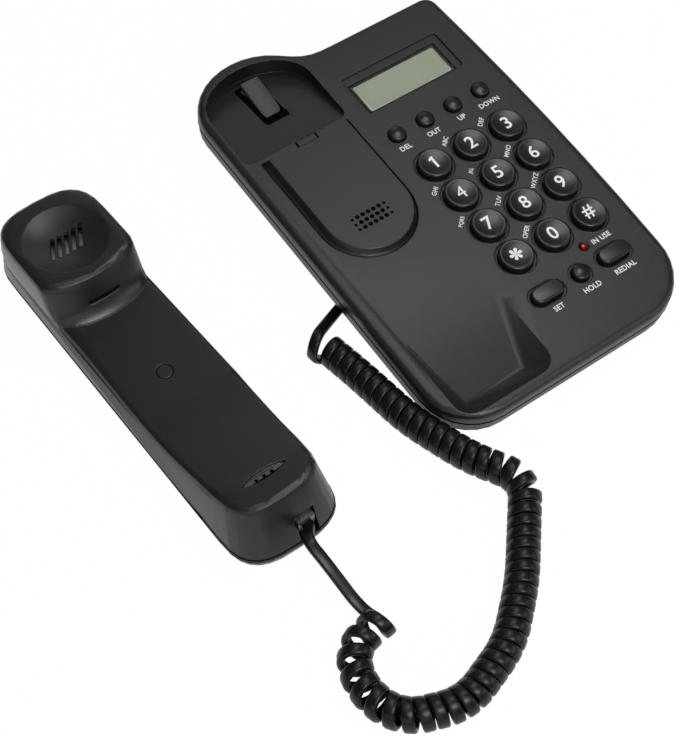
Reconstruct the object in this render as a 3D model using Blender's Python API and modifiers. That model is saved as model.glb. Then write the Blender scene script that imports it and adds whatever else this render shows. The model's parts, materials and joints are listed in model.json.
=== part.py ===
"""A corded desk telephone: base with keys and display, handset off its cradle, curly cord.

Metres, +Z up, +X to the user's right, +Y to the back. The base is modelled in its deck
frame: u across, v along the sloping deck, w out of the deck, with the origin on the deck.
The handset is modelled lying on its back, in a frame of its own.
"""
import bisect
import math

import bmesh
import bpy
from mathutils import Matrix, Vector

# Fits shared by all pieces
fit_gap = 0.0003
overrun = 0.003
weld_distance = 0.00001

# Base: outline of the deck, seen square on
base_width = 0.1265
base_length = 0.1972
deck_tilt = 6.45
side_bow = 0.0020
front_left_radius = 0.023
front_right_radius = 0.027
back_right_radius = 0.0055
back_edge_inset = 0.0144
bulge_centre_in = 0.0292
bulge_half_width = 0.0288
bulge_rise = 0.0245
blend_length = 0.0225
bulge_end_angle = 47.0

# Base: shells
shell_wall = 0.0016
rim_height = 0.0118
top_side_height = 0.0062
parting_gap = 0.0009
shoulder_radius = 0.0026
lower_rim_inset = 0.0006
lip_thickness = 0.0011
lip_height = 0.0022
foot_height = 0.0015
base_offset_x = 0.0491

# Base: stand under the bottom shell
stand_left_inset = 0.0133
stand_right_inset = 0.0213
stand_front_inset = 0.0110
stand_back_inset = 0.0206
stand_radius = 0.006

# Ear pocket with its hook lever slot
ear_centre_in = 0.0294
ear_half_width = 0.0251
ear_front_in = 0.0497
ear_side_length = 0.0275
ear_arch_rise = 0.0171
ear_depth_front = 0.0018
ear_depth_back = 0.0083
ear_corner_radius = 0.003

# Mouth pocket
mouth_left_in = 0.0068
mouth_width = 0.0462
mouth_crease_in = 0.0438
mouth_front_in = 0.0042
mouth_depth = 0.0070
mouth_left_slope_run = 0.0075
mouth_right_slope_run = 0.0100
mouth_front_slope_run = 0.0082
mouth_corner_radius = 0.0080
mouth_soften = 0.0018

# Tongue between the pockets, and the groove round it
groove_left_in = 0.0093
groove_width = 0.0043
groove_front_in = 0.0809
groove_top_in = 0.0516
groove_depth = 0.0030
tongue_right_in = 0.0526
tongue_tip_gap = 0.0038
groove_right_width = 0.0006

# Speaker grille
grille_front_in = 0.0998
grille_in = 0.03265
grille_pitch_u = 0.00266
grille_pitch_v = 0.0028
grille_hole = 0.0018
grille_end_hole = 0.0012
grille_columns = 7
grille_rows = 3

# Keys
keypad_right_in = 0.03805
keypad_front_in = 0.0792
key_pitch_u = 0.01905
key_pitch_v = 0.0181
key_radius = 0.0074
key_clearance = 0.0003
key_height = 0.0026
key_dish = 0.0006
key_edge = 0.0009
key_flange_radius = 0.0083
key_flange_thickness = 0.0009
key_stem_drop = 0.0016
key_ring_radius = 0.0086
key_ring_depth = 0.0005
key_travel = 0.0015

# Small round buttons in a row, and the hold button
small_row_shift = 0.0007
small_row_rise = 0.02105
small_pitch = 0.0147
small_radius = 0.0038
small_height = 0.0024
small_ring_radius = 0.0050
lower_row_shift = 0.0020
lower_row_drop = 0.02025
lower_pitch = 0.0173
long_button_length = 0.0150
long_button_width = 0.0076
long_button_height = 0.0024
long_ring_margin = 0.0013
button_edge = 0.0009
flange_width = 0.0009

# In-use lamp
lamp_shift = 0.0095
lamp_rise = 0.0092
lamp_radius = 0.0019
lamp_height = 0.0012
lamp_flange = 0.0006
lamp_length = 0.0050

# Display
display_shift = 0.0021
display_back_in = 0.0461
display_width = 0.0430
display_height = 0.0150
recess_left = 0.0239
recess_right = 0.0263
recess_top = 0.0126
recess_bottom = 0.0085
recess_depth = 0.0009
window_rebate = 0.0011
window_lap = 0.0010
display_bed_depth = 0.0042
panel_width = 0.0490
panel_height = 0.0220
panel_thickness = 0.0022
display_board_width = 0.0592
display_board_height = 0.0270

# Boards and mat
board_thickness = 0.0016
mat_thickness = 0.0008
mat_left_reach = 0.0302
mat_right_reach = 0.0270
mat_front_margin = 0.0072
mat_back_margin = 0.0058
board_margin_u = 0.0045
board_margin_front = 0.0050
board_margin_back = 0.0022
post_radius = 0.0017
post_inset = 0.0020

# Hook lever
hook_in = 0.0317
hook_width = 0.0087
hook_front_in = 0.0301
hook_back_in = 0.0101
hook_front_drop = 0.0063
hook_back_drop = 0.0035
hook_thickness = 0.0020
hook_slot_side = 0.0020
hook_slot_front_in = 0.0324
hook_slot_back_in = 0.0084
pivot_in = 0.0314
pivot_drop = 0.0105
pivot_radius = 0.0012
pivot_clearance = 0.0001
pivot_arm_width = 0.0020
ear_lug_thickness = 0.0016
ear_lug_gap = 0.0006
ear_lug_radius = 0.0028
tail_length = 0.0070
tail_thickness = 0.0012
hook_range = 9.0

# Hook spring and hook switch
spring_wire = 0.0006
spring_turns = 3
spring_turn_points = 10
spring_pitch = 0.0009
switch_length = 0.0075
switch_width = 0.0085
switch_thickness = 0.0011

# Wall hook
wall_hook_in = 0.0328
wall_hook_width = 0.0094
wall_hook_depth = 0.0030
wall_hook_length = 0.0050
wall_hook_back_in = 0.0512
wall_hook_finger_gap = 0.0008

# Ringer speaker
ringer_radius = 0.0128
ringer_rim_height = 0.0016
ringer_magnet_radius = 0.0070
ringer_thickness = 0.0052

# Case screws
screw_head_radius = 0.0027
screw_head_height = 0.0015
screw_shank_radius = 0.0013
well_radius = 0.0043
well_height = 0.0042
well_seat_thickness = 0.0017
boss_radius = 0.0031
boss_bite = 0.0050
screw_back_right_in = 0.00925
screw_back_in = 0.0234
screw_front_right_in = 0.03325
screw_front_in = 0.0062
screw_left_in = 0.0070
screw_left_front_v = -0.0400
screw_left_back_v = 0.0360

# Feet
foot_radius = 0.0055
foot_seat = 0.0008
foot_inset = 0.0090

# Jacks and plugs
socket_width = 0.0079
socket_height = 0.0066
socket_length = 0.0110
jack_wall = 0.0012
jack_floor = 0.0006
jack_seat_floor = 0.0007
plug_clearance = 0.0002
plug_grip_length = 0.0042
plug_tab = 0.0008
line_socket_width = 0.0098
line_socket_height = 0.0076
line_jack_length = 0.0130
line_jack_u = 0.0150
handset_jack_y = -0.0170

# Handset
handset_half = 0.0925
handset_ear_width = 0.0424
handset_mouth_width = 0.0466
handset_parting = 0.0060
handset_wall = 0.0016
handset_edge = 0.0024
handset_low_round = 0.0056
end_round_length = 0.0200
end_round_power = 3.0
ear_end_lean = 0.235
mouth_end_lean = 0.41
mouth_side_lean = 0.18
grip_height = 0.0172
mouth_height = 0.0285
grip_end_in = 0.0745
ridge_in = 0.0085
ear_height = 0.0330
ear_front_round = 0.0100
ear_back_round = 0.0200
ear_top_round = 0.0020
neck_height = 0.0140
ear_swell = 0.0004
ear_swell_height = 0.0080
handset_x = -0.0886
handset_y = -0.0058
handset_yaw = 1.8

# Height of the ear block's front edge, from the neck up to its lip, and how far it is from the handset's end
ear_front_insets = (
    (neck_height, 0.0635),
    (0.0176, 0.0620),
    (0.0192, 0.0597),
    (0.0222, 0.0577),
    (0.0300, 0.0543),
    (0.0316, 0.0535),
)

# Receiver dish and slots
dish_radius = 0.0176
dish_depth = 0.0032
dish_in = 0.0305
slot_count = 5
slot_pitch = 0.0032
slot_length = 0.0114
slot_width = 0.0016
slot_lean = 28.5
receiver_radius = 0.0150
receiver_height = 0.0070
gasket_thickness = 0.0014
gasket_width = 0.0030

# Microphone scoop
scoop_in = 0.0225
scoop_length = 0.0206
scoop_width = 0.0048
scoop_depth = 0.0014
scoop_hole = 0.0014
scoop_hole_pitch = 0.0035
scoop_hole_count = 3
microphone_radius = 0.0042
microphone_height = 0.0045
microphone_in = 0.0235

# Handset fittings
hang_slot_width = 0.0139
hang_slot_height = 0.0014
hang_slot_z = 0.0232
hang_slot_depth = 0.0050
cover_in = 0.0875
cover_radius = 0.0032
cover_thickness = 0.0010
hand_boss_radius = 0.0048
hand_boss_floor = 0.0070
weight_length = 0.0440
weight_width = 0.0180
weight_height = 0.0060
weight_in = 0.0545
hand_socket_x = 0.0046
hand_socket_z = 0.0122
hand_socket_in = 0.0070
hand_window_top = 0.0177
hand_window_width = 0.0088

# Cord
cord_width = 0.0030
coil_radius = 0.0052
coil_height = 0.0070
coil_pitch = 0.00475
coil_loose_pitch = 0.0076
coil_loose_length = 0.065
coil_kink_pitch = 0.0068
coil_kink_at = 0.164
coil_kink_width = 0.012
coil_bend_reach = 0.0089
coil_turn_points = 8
coil_step = 0.0005
lead_bend_reach = 0.0045
lead_straight = 0.0015
lead_step = 0.0024

# The handset lead, the coil's axis and the base lead, as they lie on the table
handset_lead_route = (
    (-0.0867, -0.1030, 0.0175),
    (-0.0854, -0.1130, 0.0135),
    (-0.0830, -0.1270, 0.0040),
    (-0.0816, -0.1330, 0.0018),
)
coil_route = (
    (-0.0798, -0.1403),
    (-0.0960, -0.1424),
    (-0.1025, -0.1580),
    (-0.0975, -0.1745),
    (-0.0760, -0.1828),
    (-0.0500, -0.1740),
    (-0.0305, -0.1573),
    (-0.0021, -0.1246),
    (-0.0135, -0.1045),
    (-0.0215, -0.0780),
    (-0.0245, -0.0500),
    (-0.0272, -0.0325),
)
base_lead_route = (
    (-0.0353, -0.0329, 0.0077),
    (-0.0339, -0.0322, 0.0135),
    (-0.0295, -0.0292, 0.0149),
    (-0.0175, -0.0210, 0.0070),
    (-0.0095, -0.0177, 0.0064),
)

deck_lean = math.radians(deck_tilt)
flat_angle = math.radians(0.5)
soften_angle = math.radians(28)
half_width = base_width / 2
half_length = base_length / 2
back_v = half_length - back_edge_inset

# Places along the deck, from its back and front edges
ear_front_v = half_length - ear_front_in
groove_top_v = half_length - groove_top_in
groove_front_v = -half_length + groove_front_in
mouth_crease_v = -half_length + mouth_crease_in
mouth_front_v = -half_length + mouth_front_in
grille_v = -half_length + grille_front_in
keypad_v = -half_length + keypad_front_in
small_row_v = keypad_v + 1.5 * key_pitch_v + small_row_rise
lower_row_v = keypad_v - 1.5 * key_pitch_v - lower_row_drop
lamp_v = lower_row_v + lamp_rise
mat_front_v = lower_row_v - mat_front_margin
mat_back_v = small_row_v + mat_back_margin
display_v = half_length - display_back_in
hook_front_v = half_length - hook_front_in
hook_back_v = half_length - hook_back_in
hook_slot_front_v = half_length - hook_slot_front_in
hook_slot_back_v = half_length - hook_slot_back_in
pivot_v = half_length - pivot_in
wall_hook_v = half_length - wall_hook_back_in
screw_back_v = half_length - screw_back_in
screw_front_v = -half_length + screw_front_in

# Places across the deck, from its right edge
keypad_u = half_width - keypad_right_in
small_row_u = keypad_u - small_row_shift
lower_row_u = keypad_u - lower_row_shift
lamp_u = lower_row_u + lamp_shift
display_u = keypad_u - display_shift
mat_left_u = keypad_u - mat_left_reach
mat_right_u = keypad_u + mat_right_reach
screw_back_u = half_width - screw_back_right_in
screw_front_u = half_width - screw_front_right_in

# Places along the handset, from its ear end and its mouth end
dish_y = handset_half - dish_in
ear_front_steps = [(height, handset_half - inset_y) for height, inset_y in ear_front_insets]
grip_end_y = -handset_half + grip_end_in
ridge_y = -handset_half + ridge_in
scoop_y = -handset_half + scoop_in
microphone_y = -handset_half + microphone_in
cover_y = -handset_half + cover_in
weight_y = -handset_half + weight_in

deck_rise = foot_height + rim_height * math.cos(deck_lean) + half_length * math.sin(deck_lean)
under_deck = -shell_wall
tray_floor = -rim_height + shell_wall
key_stack = under_deck - fit_gap - key_flange_thickness - key_stem_drop
mat_top = key_stack - key_travel - fit_gap
board_top = mat_top - mat_thickness - fit_gap


def clear_scene():
    for thing in list(bpy.data.objects):
        bpy.data.objects.remove(thing)


def new_collection(name):
    group = bpy.data.collections.new(name)
    bpy.context.scene.collection.children.link(group)
    return group


def new_frame(name, place, lean_x=0.0, turn_z=0.0, parent=None):
    frame = bpy.data.objects.new(name, None)
    parts.objects.link(frame)
    frame.location = place
    frame.rotation_euler = (lean_x, 0.0, turn_z)
    frame.parent = parent
    return frame


def surface(name, colour, roughness, metallic=0.0):
    made = bpy.data.materials.get(name)
    if made is None:
        made = bpy.data.materials.new(name)
        made.use_nodes = True
        shader = made.node_tree.nodes["Principled BSDF"]
        shader.inputs["Base Color"].default_value = (*colour, 1.0)
        shader.inputs["Roughness"].default_value = roughness
        shader.inputs["Metallic"].default_value = metallic
    return made


def place_object(name, mesh, frame, finish=None):
    thing = bpy.data.objects.new(name, mesh)
    if finish is None:
        cutters.objects.link(thing)
        thing.hide_render = True
        thing.display_type = "WIRE"
    else:
        parts.objects.link(thing)
        mesh.materials.append(surface(*finish))
    thing.parent = frame
    return thing


def mesh_object(name, bm, frame, finish=None):
    bmesh.ops.recalc_face_normals(bm, faces=bm.faces)
    mesh = bpy.data.meshes.new(name)
    bm.to_mesh(mesh)
    bm.free()
    return place_object(name, mesh, frame, finish)


def curve_mesh(name, curve):
    """The welded mesh of a curve, in the curve's own coordinates."""
    holder = bpy.data.objects.new(name, curve)
    cutters.objects.link(holder)
    depsgraph = bpy.context.evaluated_depsgraph_get()
    mesh = bpy.data.meshes.new_from_object(holder.evaluated_get(depsgraph))
    bpy.data.objects.remove(holder)
    bm = bmesh.new()
    bm.from_mesh(mesh)
    bpy.data.meshes.remove(mesh)
    bmesh.ops.remove_doubles(bm, verts=bm.verts, dist=weld_distance)
    return bm


def plate(name, outlines, low, high, frame, finish=None, low_at=None, round_top=0.0):
    """A flat plate from one outline, or from an outline and its holes."""
    curve = bpy.data.curves.new(name, "CURVE")
    curve.dimensions = "2D"
    curve.fill_mode = "BOTH"
    curve.extrude = (high - low) / 2
    for outline in outlines:
        spline = curve.splines.new("POLY")
        spline.points.add(len(outline) - 1)
        spline.use_cyclic_u = True
        for point, (u, v) in zip(spline.points, outline):
            point.co = (u, v, 0.0, 1.0)
    bm = curve_mesh(name, curve)
    middle = (high + low) / 2
    bmesh.ops.translate(bm, verts=bm.verts, vec=(0.0, 0.0, middle))
    bmesh.ops.dissolve_limit(bm, angle_limit=flat_angle, verts=bm.verts, edges=bm.edges)
    if low_at is not None:
        for vert in bm.verts:
            if vert.co.z < middle:
                vert.co.z = low_at(vert.co.y)
    if round_top:
        top = [e for e in bm.edges if min(v.co.z for v in e.verts) > high - weld_distance]
        bmesh.ops.bevel(bm, geom=top, offset=round_top, segments=3, profile=0.5, affect="EDGES")
    return mesh_object(name, bm, frame, finish)


def box(name, low, high, frame, finish=None, edge=0.0):
    """An upright box between two corners, with softened edges if edge is given."""
    bm = bmesh.new()
    size = [b - a for a, b in zip(low, high)]
    middle = [(a + b) / 2 for a, b in zip(low, high)]
    bmesh.ops.create_cube(bm, size=1.0, matrix=Matrix.LocRotScale(middle, None, size))
    if edge:
        bmesh.ops.bevel(bm, geom=bm.edges[:], offset=edge, segments=1, affect="EDGES")
    return mesh_object(name, bm, frame, finish)


def add_rod(bm, start, along, length, radius, sides=12, end_radius=None):
    """A closed cylinder or cone in bm, from start towards the direction along."""
    direction = Vector(along).normalized()
    turn = direction.to_track_quat("Z", "Y").to_matrix().to_4x4()
    centre = Vector(start) + direction * (length / 2)
    bmesh.ops.create_cone(
        bm, cap_ends=True, segments=sides, radius1=radius,
        radius2=radius if end_radius is None else end_radius,
        depth=length, matrix=Matrix.Translation(centre) @ turn)


def rods(name, places, low, high, radius, frame, finish=None, sides=12, top_radius=None):
    """One object of upright cylinders that share their size."""
    bm = bmesh.new()
    for u, v in places:
        add_rod(bm, (u, v, low), (0.0, 0.0, 1.0), high - low, radius, sides, top_radius)
    return mesh_object(name, bm, frame, finish)


def hull(name, points, frame, finish=None, soften=0.0):
    """The convex solid round a few corner points."""
    bm = bmesh.new()
    for point in points:
        bm.verts.new(point)
    made = bmesh.ops.convex_hull(bm, input=bm.verts)
    loose = [g for g in made["geom_interior"] + made["geom_unused"] if isinstance(g, bmesh.types.BMVert)]
    bmesh.ops.delete(bm, geom=loose, context="VERTS")
    bmesh.ops.dissolve_limit(bm, angle_limit=flat_angle, verts=bm.verts, edges=bm.edges)
    if soften:
        sharp = [e for e in bm.edges if e.calc_face_angle() > soften_angle]
        bmesh.ops.bevel(bm, geom=sharp, offset=soften, segments=2, profile=0.5, affect="EDGES")
    return mesh_object(name, bm, frame, finish)


def turned(name, profile, place, frame, finish=None, steps=20):
    """A solid of revolution about its own Z axis; the profile runs from top to bottom."""
    mesh = bpy.data.meshes.new(name)
    verts = [(r, 0.0, z) for r, z in profile]
    mesh.from_pydata(verts, [(i, i + 1) for i in range(len(verts) - 1)], [])
    thing = place_object(name, mesh, frame, finish)
    thing.location = place
    screw = thing.modifiers.new("turn", "SCREW")
    screw.steps = steps
    screw.render_steps = steps
    screw.use_merge_vertices = True
    screw.merge_threshold = weld_distance
    return thing


def tube(name, points, width, frame, finish=None, resolution=2):
    """A round cord or wire with filled ends along a list of points."""
    curve = bpy.data.curves.new(name, "CURVE")
    curve.dimensions = "3D"
    curve.bevel_depth = width / 2
    curve.bevel_resolution = resolution
    curve.use_fill_caps = True
    spline = curve.splines.new("POLY")
    spline.points.add(len(points) - 1)
    for point, place in zip(spline.points, points):
        point.co = (*place, 1.0)
    return mesh_object(name, curve_mesh(name, curve), frame, finish)


def combine(thing, other, operation):
    step = thing.modifiers.new(other.name, "BOOLEAN")
    step.operation = operation
    step.object = other
    step.solver = "EXACT"


def cut(thing, *others):
    for other in others:
        combine(thing, other, "DIFFERENCE")


def join(thing, *others):
    for other in others:
        combine(thing, other, "UNION")


def arc(centre_u, centre_v, radius, start, end, steps, radius_v=None):
    """Points on an arc or a part of an ellipse, by angle in degrees."""
    rise = radius if radius_v is None else radius_v
    turns = [math.radians(start + (end - start) * i / steps) for i in range(steps + 1)]
    return [(centre_u + radius * math.cos(t), centre_v + rise * math.sin(t)) for t in turns]


def rounded_box(low_u, low_v, high_u, high_v, radius, steps=3):
    return (arc(low_u + radius, low_v + radius, radius, 180, 270, steps)
            + arc(high_u - radius, low_v + radius, radius, 270, 360, steps)
            + arc(high_u - radius, high_v - radius, radius, 0, 90, steps)
            + arc(low_u + radius, high_v - radius, radius, 90, 180, steps))


def inset(outline, distance):
    """The outline moved inwards by a distance; it runs anticlockwise."""
    moved = []
    for i, (u, v) in enumerate(outline):
        before = Vector(outline[i - 1])
        here = Vector((u, v))
        after = Vector(outline[(i + 1) % len(outline)])
        first = (here - before).normalized()
        second = (after - here).normalized()
        normal = Vector((-first.y - second.y, first.x + second.x)).normalized()
        spread = normal.dot(Vector((-first.y, first.x)))
        moved.append(tuple(here + normal * (distance / spread)))
    return moved


def bow_side(low_v, high_v, steps):
    """The base's right side, a shallow bow."""
    middle = (low_v + high_v) / 2
    reach = (high_v - low_v) / 2
    points = []
    for i in range(1, steps):
        v = low_v + (high_v - low_v) * i / steps
        points.append((half_width - side_bow * ((v - middle) / reach) ** 2, v))
    return points


def bezier(start, start_pull, end_pull, end, steps):
    points = []
    for i in range(1, steps):
        t = i / steps
        near = 1 - t
        weights = (near ** 3, 3 * near * near * t, 3 * near * t * t, t ** 3)
        spots = (start, start_pull, end_pull, end)
        points.append(tuple(sum(w * s[k] for w, s in zip(weights, spots)) for k in range(2)))
    return points


def base_outline():
    """The deck's outline, anticlockwise from the front left corner."""
    right = half_width - side_bow
    bulge_u = -half_width + bulge_centre_in
    bulge_v = half_length - bulge_rise
    bulge = arc(bulge_u, bulge_v, bulge_half_width, bulge_end_angle, 180, 12, bulge_rise)
    bulge_start = bulge[0]
    blend_start = (bulge_start[0] + blend_length, back_v)
    pull = blend_length / 2
    lean = math.radians(bulge_end_angle)
    tangent = Vector((bulge_half_width * math.sin(lean), -bulge_rise * math.cos(lean))).normalized()
    end_pull = (bulge_start[0] + tangent.x * pull, bulge_start[1] + tangent.y * pull)
    side_low = -half_length + front_right_radius
    side_high = back_v - back_right_radius
    return (arc(-half_width + front_left_radius, -half_length + front_left_radius, front_left_radius, 180, 270, 7)
            + arc(right - front_right_radius, side_low, front_right_radius, 270, 360, 8)
            + bow_side(side_low, side_high, 6)
            + arc(right - back_right_radius, side_high, back_right_radius, 0, 90, 4)
            + [blend_start]
            + bezier(blend_start, (blend_start[0] - pull, back_v), end_pull, bulge_start, 5)
            + bulge)


def ear_outline(grow):
    centre = -half_width + ear_centre_in
    reach = ear_half_width + grow
    front = ear_front_v - grow
    arch_v = ear_front_v + ear_side_length
    corner = ear_corner_radius
    return (arc(centre - reach + corner, front + corner, corner, 180, 270, 3)
            + arc(centre + reach - corner, front + corner, corner, 270, 360, 3)
            + arc(centre, arch_v, reach, 0, 180, 14, ear_arch_rise + grow))


def ear_floor(v):
    along = (v - ear_front_v) / (ear_side_length + ear_arch_rise)
    return -(ear_depth_front + (ear_depth_back - ear_depth_front) * along)


def ear_cup_floor(v):
    return ear_floor(v) - shell_wall


def mouth_corners(grow):
    """Corners of the wedge under the mouth pocket, carried on above the deck."""
    depth = mouth_depth + grow
    above = overrun if not grow else -shell_wall / 2
    left_lean = mouth_left_slope_run / mouth_depth
    right_lean = mouth_right_slope_run / mouth_depth
    front_lean = mouth_front_slope_run / mouth_depth
    left = -half_width + mouth_left_in - grow
    right = -half_width + mouth_left_in + mouth_width + grow
    front = mouth_front_v - grow
    floor_v = front + mouth_front_slope_run
    floor_lean = (mouth_crease_v - mouth_front_v - mouth_front_slope_run) / mouth_depth
    radius = mouth_corner_radius + grow + above * front_lean
    low_v = front - above * front_lean
    back_v = floor_v + floor_lean * (depth + above)
    low_u = left - above * left_lean
    high_u = right + above * right_lean
    rim = arc(low_u + radius, low_v + radius, radius, 180, 270, 5)
    rim += arc(high_u - radius, low_v + radius, radius, 270, 360, 5)
    rim += [(low_u, back_v), (high_u, back_v)]
    floor = [(left + depth * left_lean, floor_v, -depth), (right - depth * right_lean, floor_v, -depth)]
    return [(u, v, above) for u, v in rim] + floor


def u_outline(left, right, front, back, tip_radius_v):
    """A tongue: straight sides with a round front."""
    middle = (left + right) / 2
    reach = (right - left) / 2
    return ([(right, back), (left, back)]
            + arc(middle, front + tip_radius_v, reach, 180, 360, 14, tip_radius_v))


def groove_outlines(grow):
    left = -half_width + groove_left_in
    right = -half_width + tongue_right_in + groove_right_width
    reach = (right - left) / 2
    outer = u_outline(left - grow, right + grow, groove_front_v - grow, groove_top_v + grow, reach + grow)
    tongue_left = left + groove_width + grow
    tongue_right = -half_width + tongue_right_in - grow
    tongue_reach = (tongue_right - tongue_left) / 2
    tongue_front = groove_front_v + tongue_tip_gap + grow
    inner = u_outline(tongue_left, tongue_right, tongue_front, groove_top_v + overrun + grow, tongue_reach)
    return outer, inner


def key_places():
    places = {}
    names = (("key_1", "key_2", "key_3"), ("key_4", "key_5", "key_6"),
             ("key_7", "key_8", "key_9"), ("key_star", "key_0", "key_hash"))
    for row, line in enumerate(names):
        for column, name in enumerate(line):
            u = keypad_u + (column - 1) * key_pitch_u
            v = keypad_v + (1.5 - row) * key_pitch_v
            places[name] = (u, v)
    return places


def small_places():
    names = ("button_delete", "button_out", "button_up", "button_down")
    places = {}
    for i, name in enumerate(names):
        places[name] = (small_row_u + (i - 1.5) * small_pitch, small_row_v)
    return places


def screw_places():
    left = -half_width + screw_left_in
    return [(screw_back_u, screw_back_v), (screw_front_u, screw_front_v),
            (left, screw_left_front_v), (left, screw_left_back_v)]


def board_outline():
    return (mat_left_u - board_margin_u, mat_front_v - board_margin_front,
            mat_right_u + board_margin_u, mat_back_v + board_margin_back)


def post_places(low_u, low_v, high_u, high_v):
    return [(u, v) for u in (low_u + post_inset, high_u - post_inset)
            for v in (low_v + post_inset, high_v - post_inset)]


def display_board_outline():
    return (display_u - display_board_width / 2, display_v - display_board_height / 2 + window_lap,
            display_u + display_board_width / 2, display_v + display_board_height / 2 + window_lap)


def lug_places():
    centre = -half_width + hook_in
    reach = hook_width / 2 + ear_lug_gap
    return ((centre - reach - ear_lug_thickness), (centre + reach))


def grille_cutters():
    """Rows of round holes, with a smaller hole at each end of a row."""
    centre = -half_width + grille_in
    bm = bmesh.new()
    for row in range(grille_rows):
        v = grille_v + (row - (grille_rows - 1) / 2) * grille_pitch_v
        for column in range(grille_columns):
            u = centre + (column - (grille_columns - 1) / 2) * grille_pitch_u
            at_end = column in (0, grille_columns - 1)
            width = grille_end_hole if at_end else grille_hole
            add_rod(bm, (u, v, under_deck - overrun), (0.0, 0.0, 1.0), 2 * overrun + shell_wall, width / 2, 6)
    return mesh_object("grille_cut", bm, deck)


def hollow_top_shell(shell, outline):
    """Everything that stands inside the top shell, then what is cut through it."""
    cut(shell, plate("top_hollow", [inset(outline, shell_wall)], -top_side_height - overrun, under_deck, deck))
    middle = under_deck / 2
    ear_cup = plate("ear_cup", [ear_outline(shell_wall)], -ear_depth_back, middle, deck, low_at=ear_cup_floor)
    outer, inner = groove_outlines(shell_wall)
    groove_cup = plate("groove_cup", [outer], -groove_depth - shell_wall, middle, deck)
    cut(groove_cup, plate("tongue_room", [inner], -groove_depth - 2 * shell_wall, middle + overrun, deck))
    mouth_cup = hull("mouth_cup", mouth_corners(shell_wall), deck)
    low_u = display_u - recess_left
    high_u = display_u + recess_right
    low_v = display_v - recess_bottom
    high_v = display_v + recess_top
    bed = rounded_box(low_u - shell_wall, low_v - shell_wall, high_u + shell_wall, high_v + shell_wall, shell_wall)
    display_bed = plate("display_bed", [bed], -display_bed_depth, middle, deck)
    panel_posts = rods("panel_posts", post_places(*display_board_outline()),
                       display_board_top() + fit_gap, middle, post_radius, deck, sides=8)
    board_posts = rods("board_posts", post_places(*board_outline()), board_top + fit_gap, middle, post_radius,
                       deck, sides=8)
    bosses = rods("bosses", screw_places(), well_top() + fit_gap, middle, boss_radius, deck, sides=12)
    join(shell, ear_cup, groove_cup, mouth_cup, display_bed, panel_posts, board_posts, bosses)


def well_top():
    return -rim_height + well_height


def display_board_top():
    return -display_bed_depth - fit_gap - panel_thickness - fit_gap


def pierce_top_shell(shell):
    ear_pocket = plate("ear_pocket", [ear_outline(0.0)], -ear_depth_front, overrun, deck, low_at=ear_floor)
    outer, inner = groove_outlines(0.0)
    groove = plate("groove", [outer], -groove_depth, overrun, deck)
    cut(groove, plate("tongue", [inner], -groove_depth - overrun, 2 * overrun, deck))
    mouth_pocket = hull("mouth_pocket", mouth_corners(0.0), deck, soften=mouth_soften)
    low_u = display_u - recess_left
    high_u = display_u + recess_right
    low_v = display_v - recess_bottom
    high_v = display_v + recess_top
    recess = plate("display_recess", [rounded_box(low_u, low_v, high_u, high_v, shell_wall)],
                   -recess_depth, overrun, deck)
    reach_u = display_width / 2 + window_lap + fit_gap
    reach_v = display_height / 2 + window_lap + fit_gap
    rebate = box("window_rebate", (display_u - reach_u, display_v - reach_v, -recess_depth - window_rebate),
                 (display_u + reach_u, display_v + reach_v, overrun), deck)
    opening = box("window_opening",
                  (display_u - display_width / 2, display_v - display_height / 2, -display_bed_depth - overrun),
                  (display_u + display_width / 2, display_v + display_height / 2, overrun), deck)
    cut(shell, ear_pocket, groove, mouth_pocket, recess, rebate, opening, grille_cutters())
    low = under_deck - overrun
    keys = list(key_places().values())
    cut(shell, rods("key_rings", keys, -key_ring_depth, overrun, key_ring_radius, deck, sides=14))
    cut(shell, rods("key_holes", keys, low, overrun, key_radius + key_clearance, deck, sides=14))
    small = list(small_places().values()) + [(lower_row_u, lower_row_v)]
    cut(shell, rods("small_holes", small, low, overrun, small_radius + key_clearance, deck, sides=14))
    cut(shell, rods("hold_ring", [(lower_row_u, lower_row_v)], -key_ring_depth, overrun, small_ring_radius,
                    deck, sides=16))
    cut(shell, rods("lamp_hole", [(lamp_u, lamp_v)], low, overrun, lamp_radius + fit_gap, deck, sides=10))
    for side in (-1, 1):
        u = lower_row_u + side * lower_pitch
        ring = long_outline(u, lower_row_v, long_ring_margin)
        hole = long_outline(u, lower_row_v, key_clearance)
        cut(shell, plate("long_ring", [ring], -key_ring_depth, overrun, deck))
        cut(shell, plate("long_hole", [hole], low, overrun, deck))
    boss_bore = well_top() + fit_gap
    cut(shell, rods("boss_bores", screw_places(), boss_bore - overrun, boss_bore + boss_bite + fit_gap,
                    screw_shank_radius + fit_gap, deck, sides=10))


def long_outline(u, v, grow):
    reach = long_button_length / 2 - long_button_width / 2
    radius = long_button_width / 2 + grow
    return arc(u - reach, v, radius, 90, 270, 6) + arc(u + reach, v, radius, -90, 90, 6)


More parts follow.
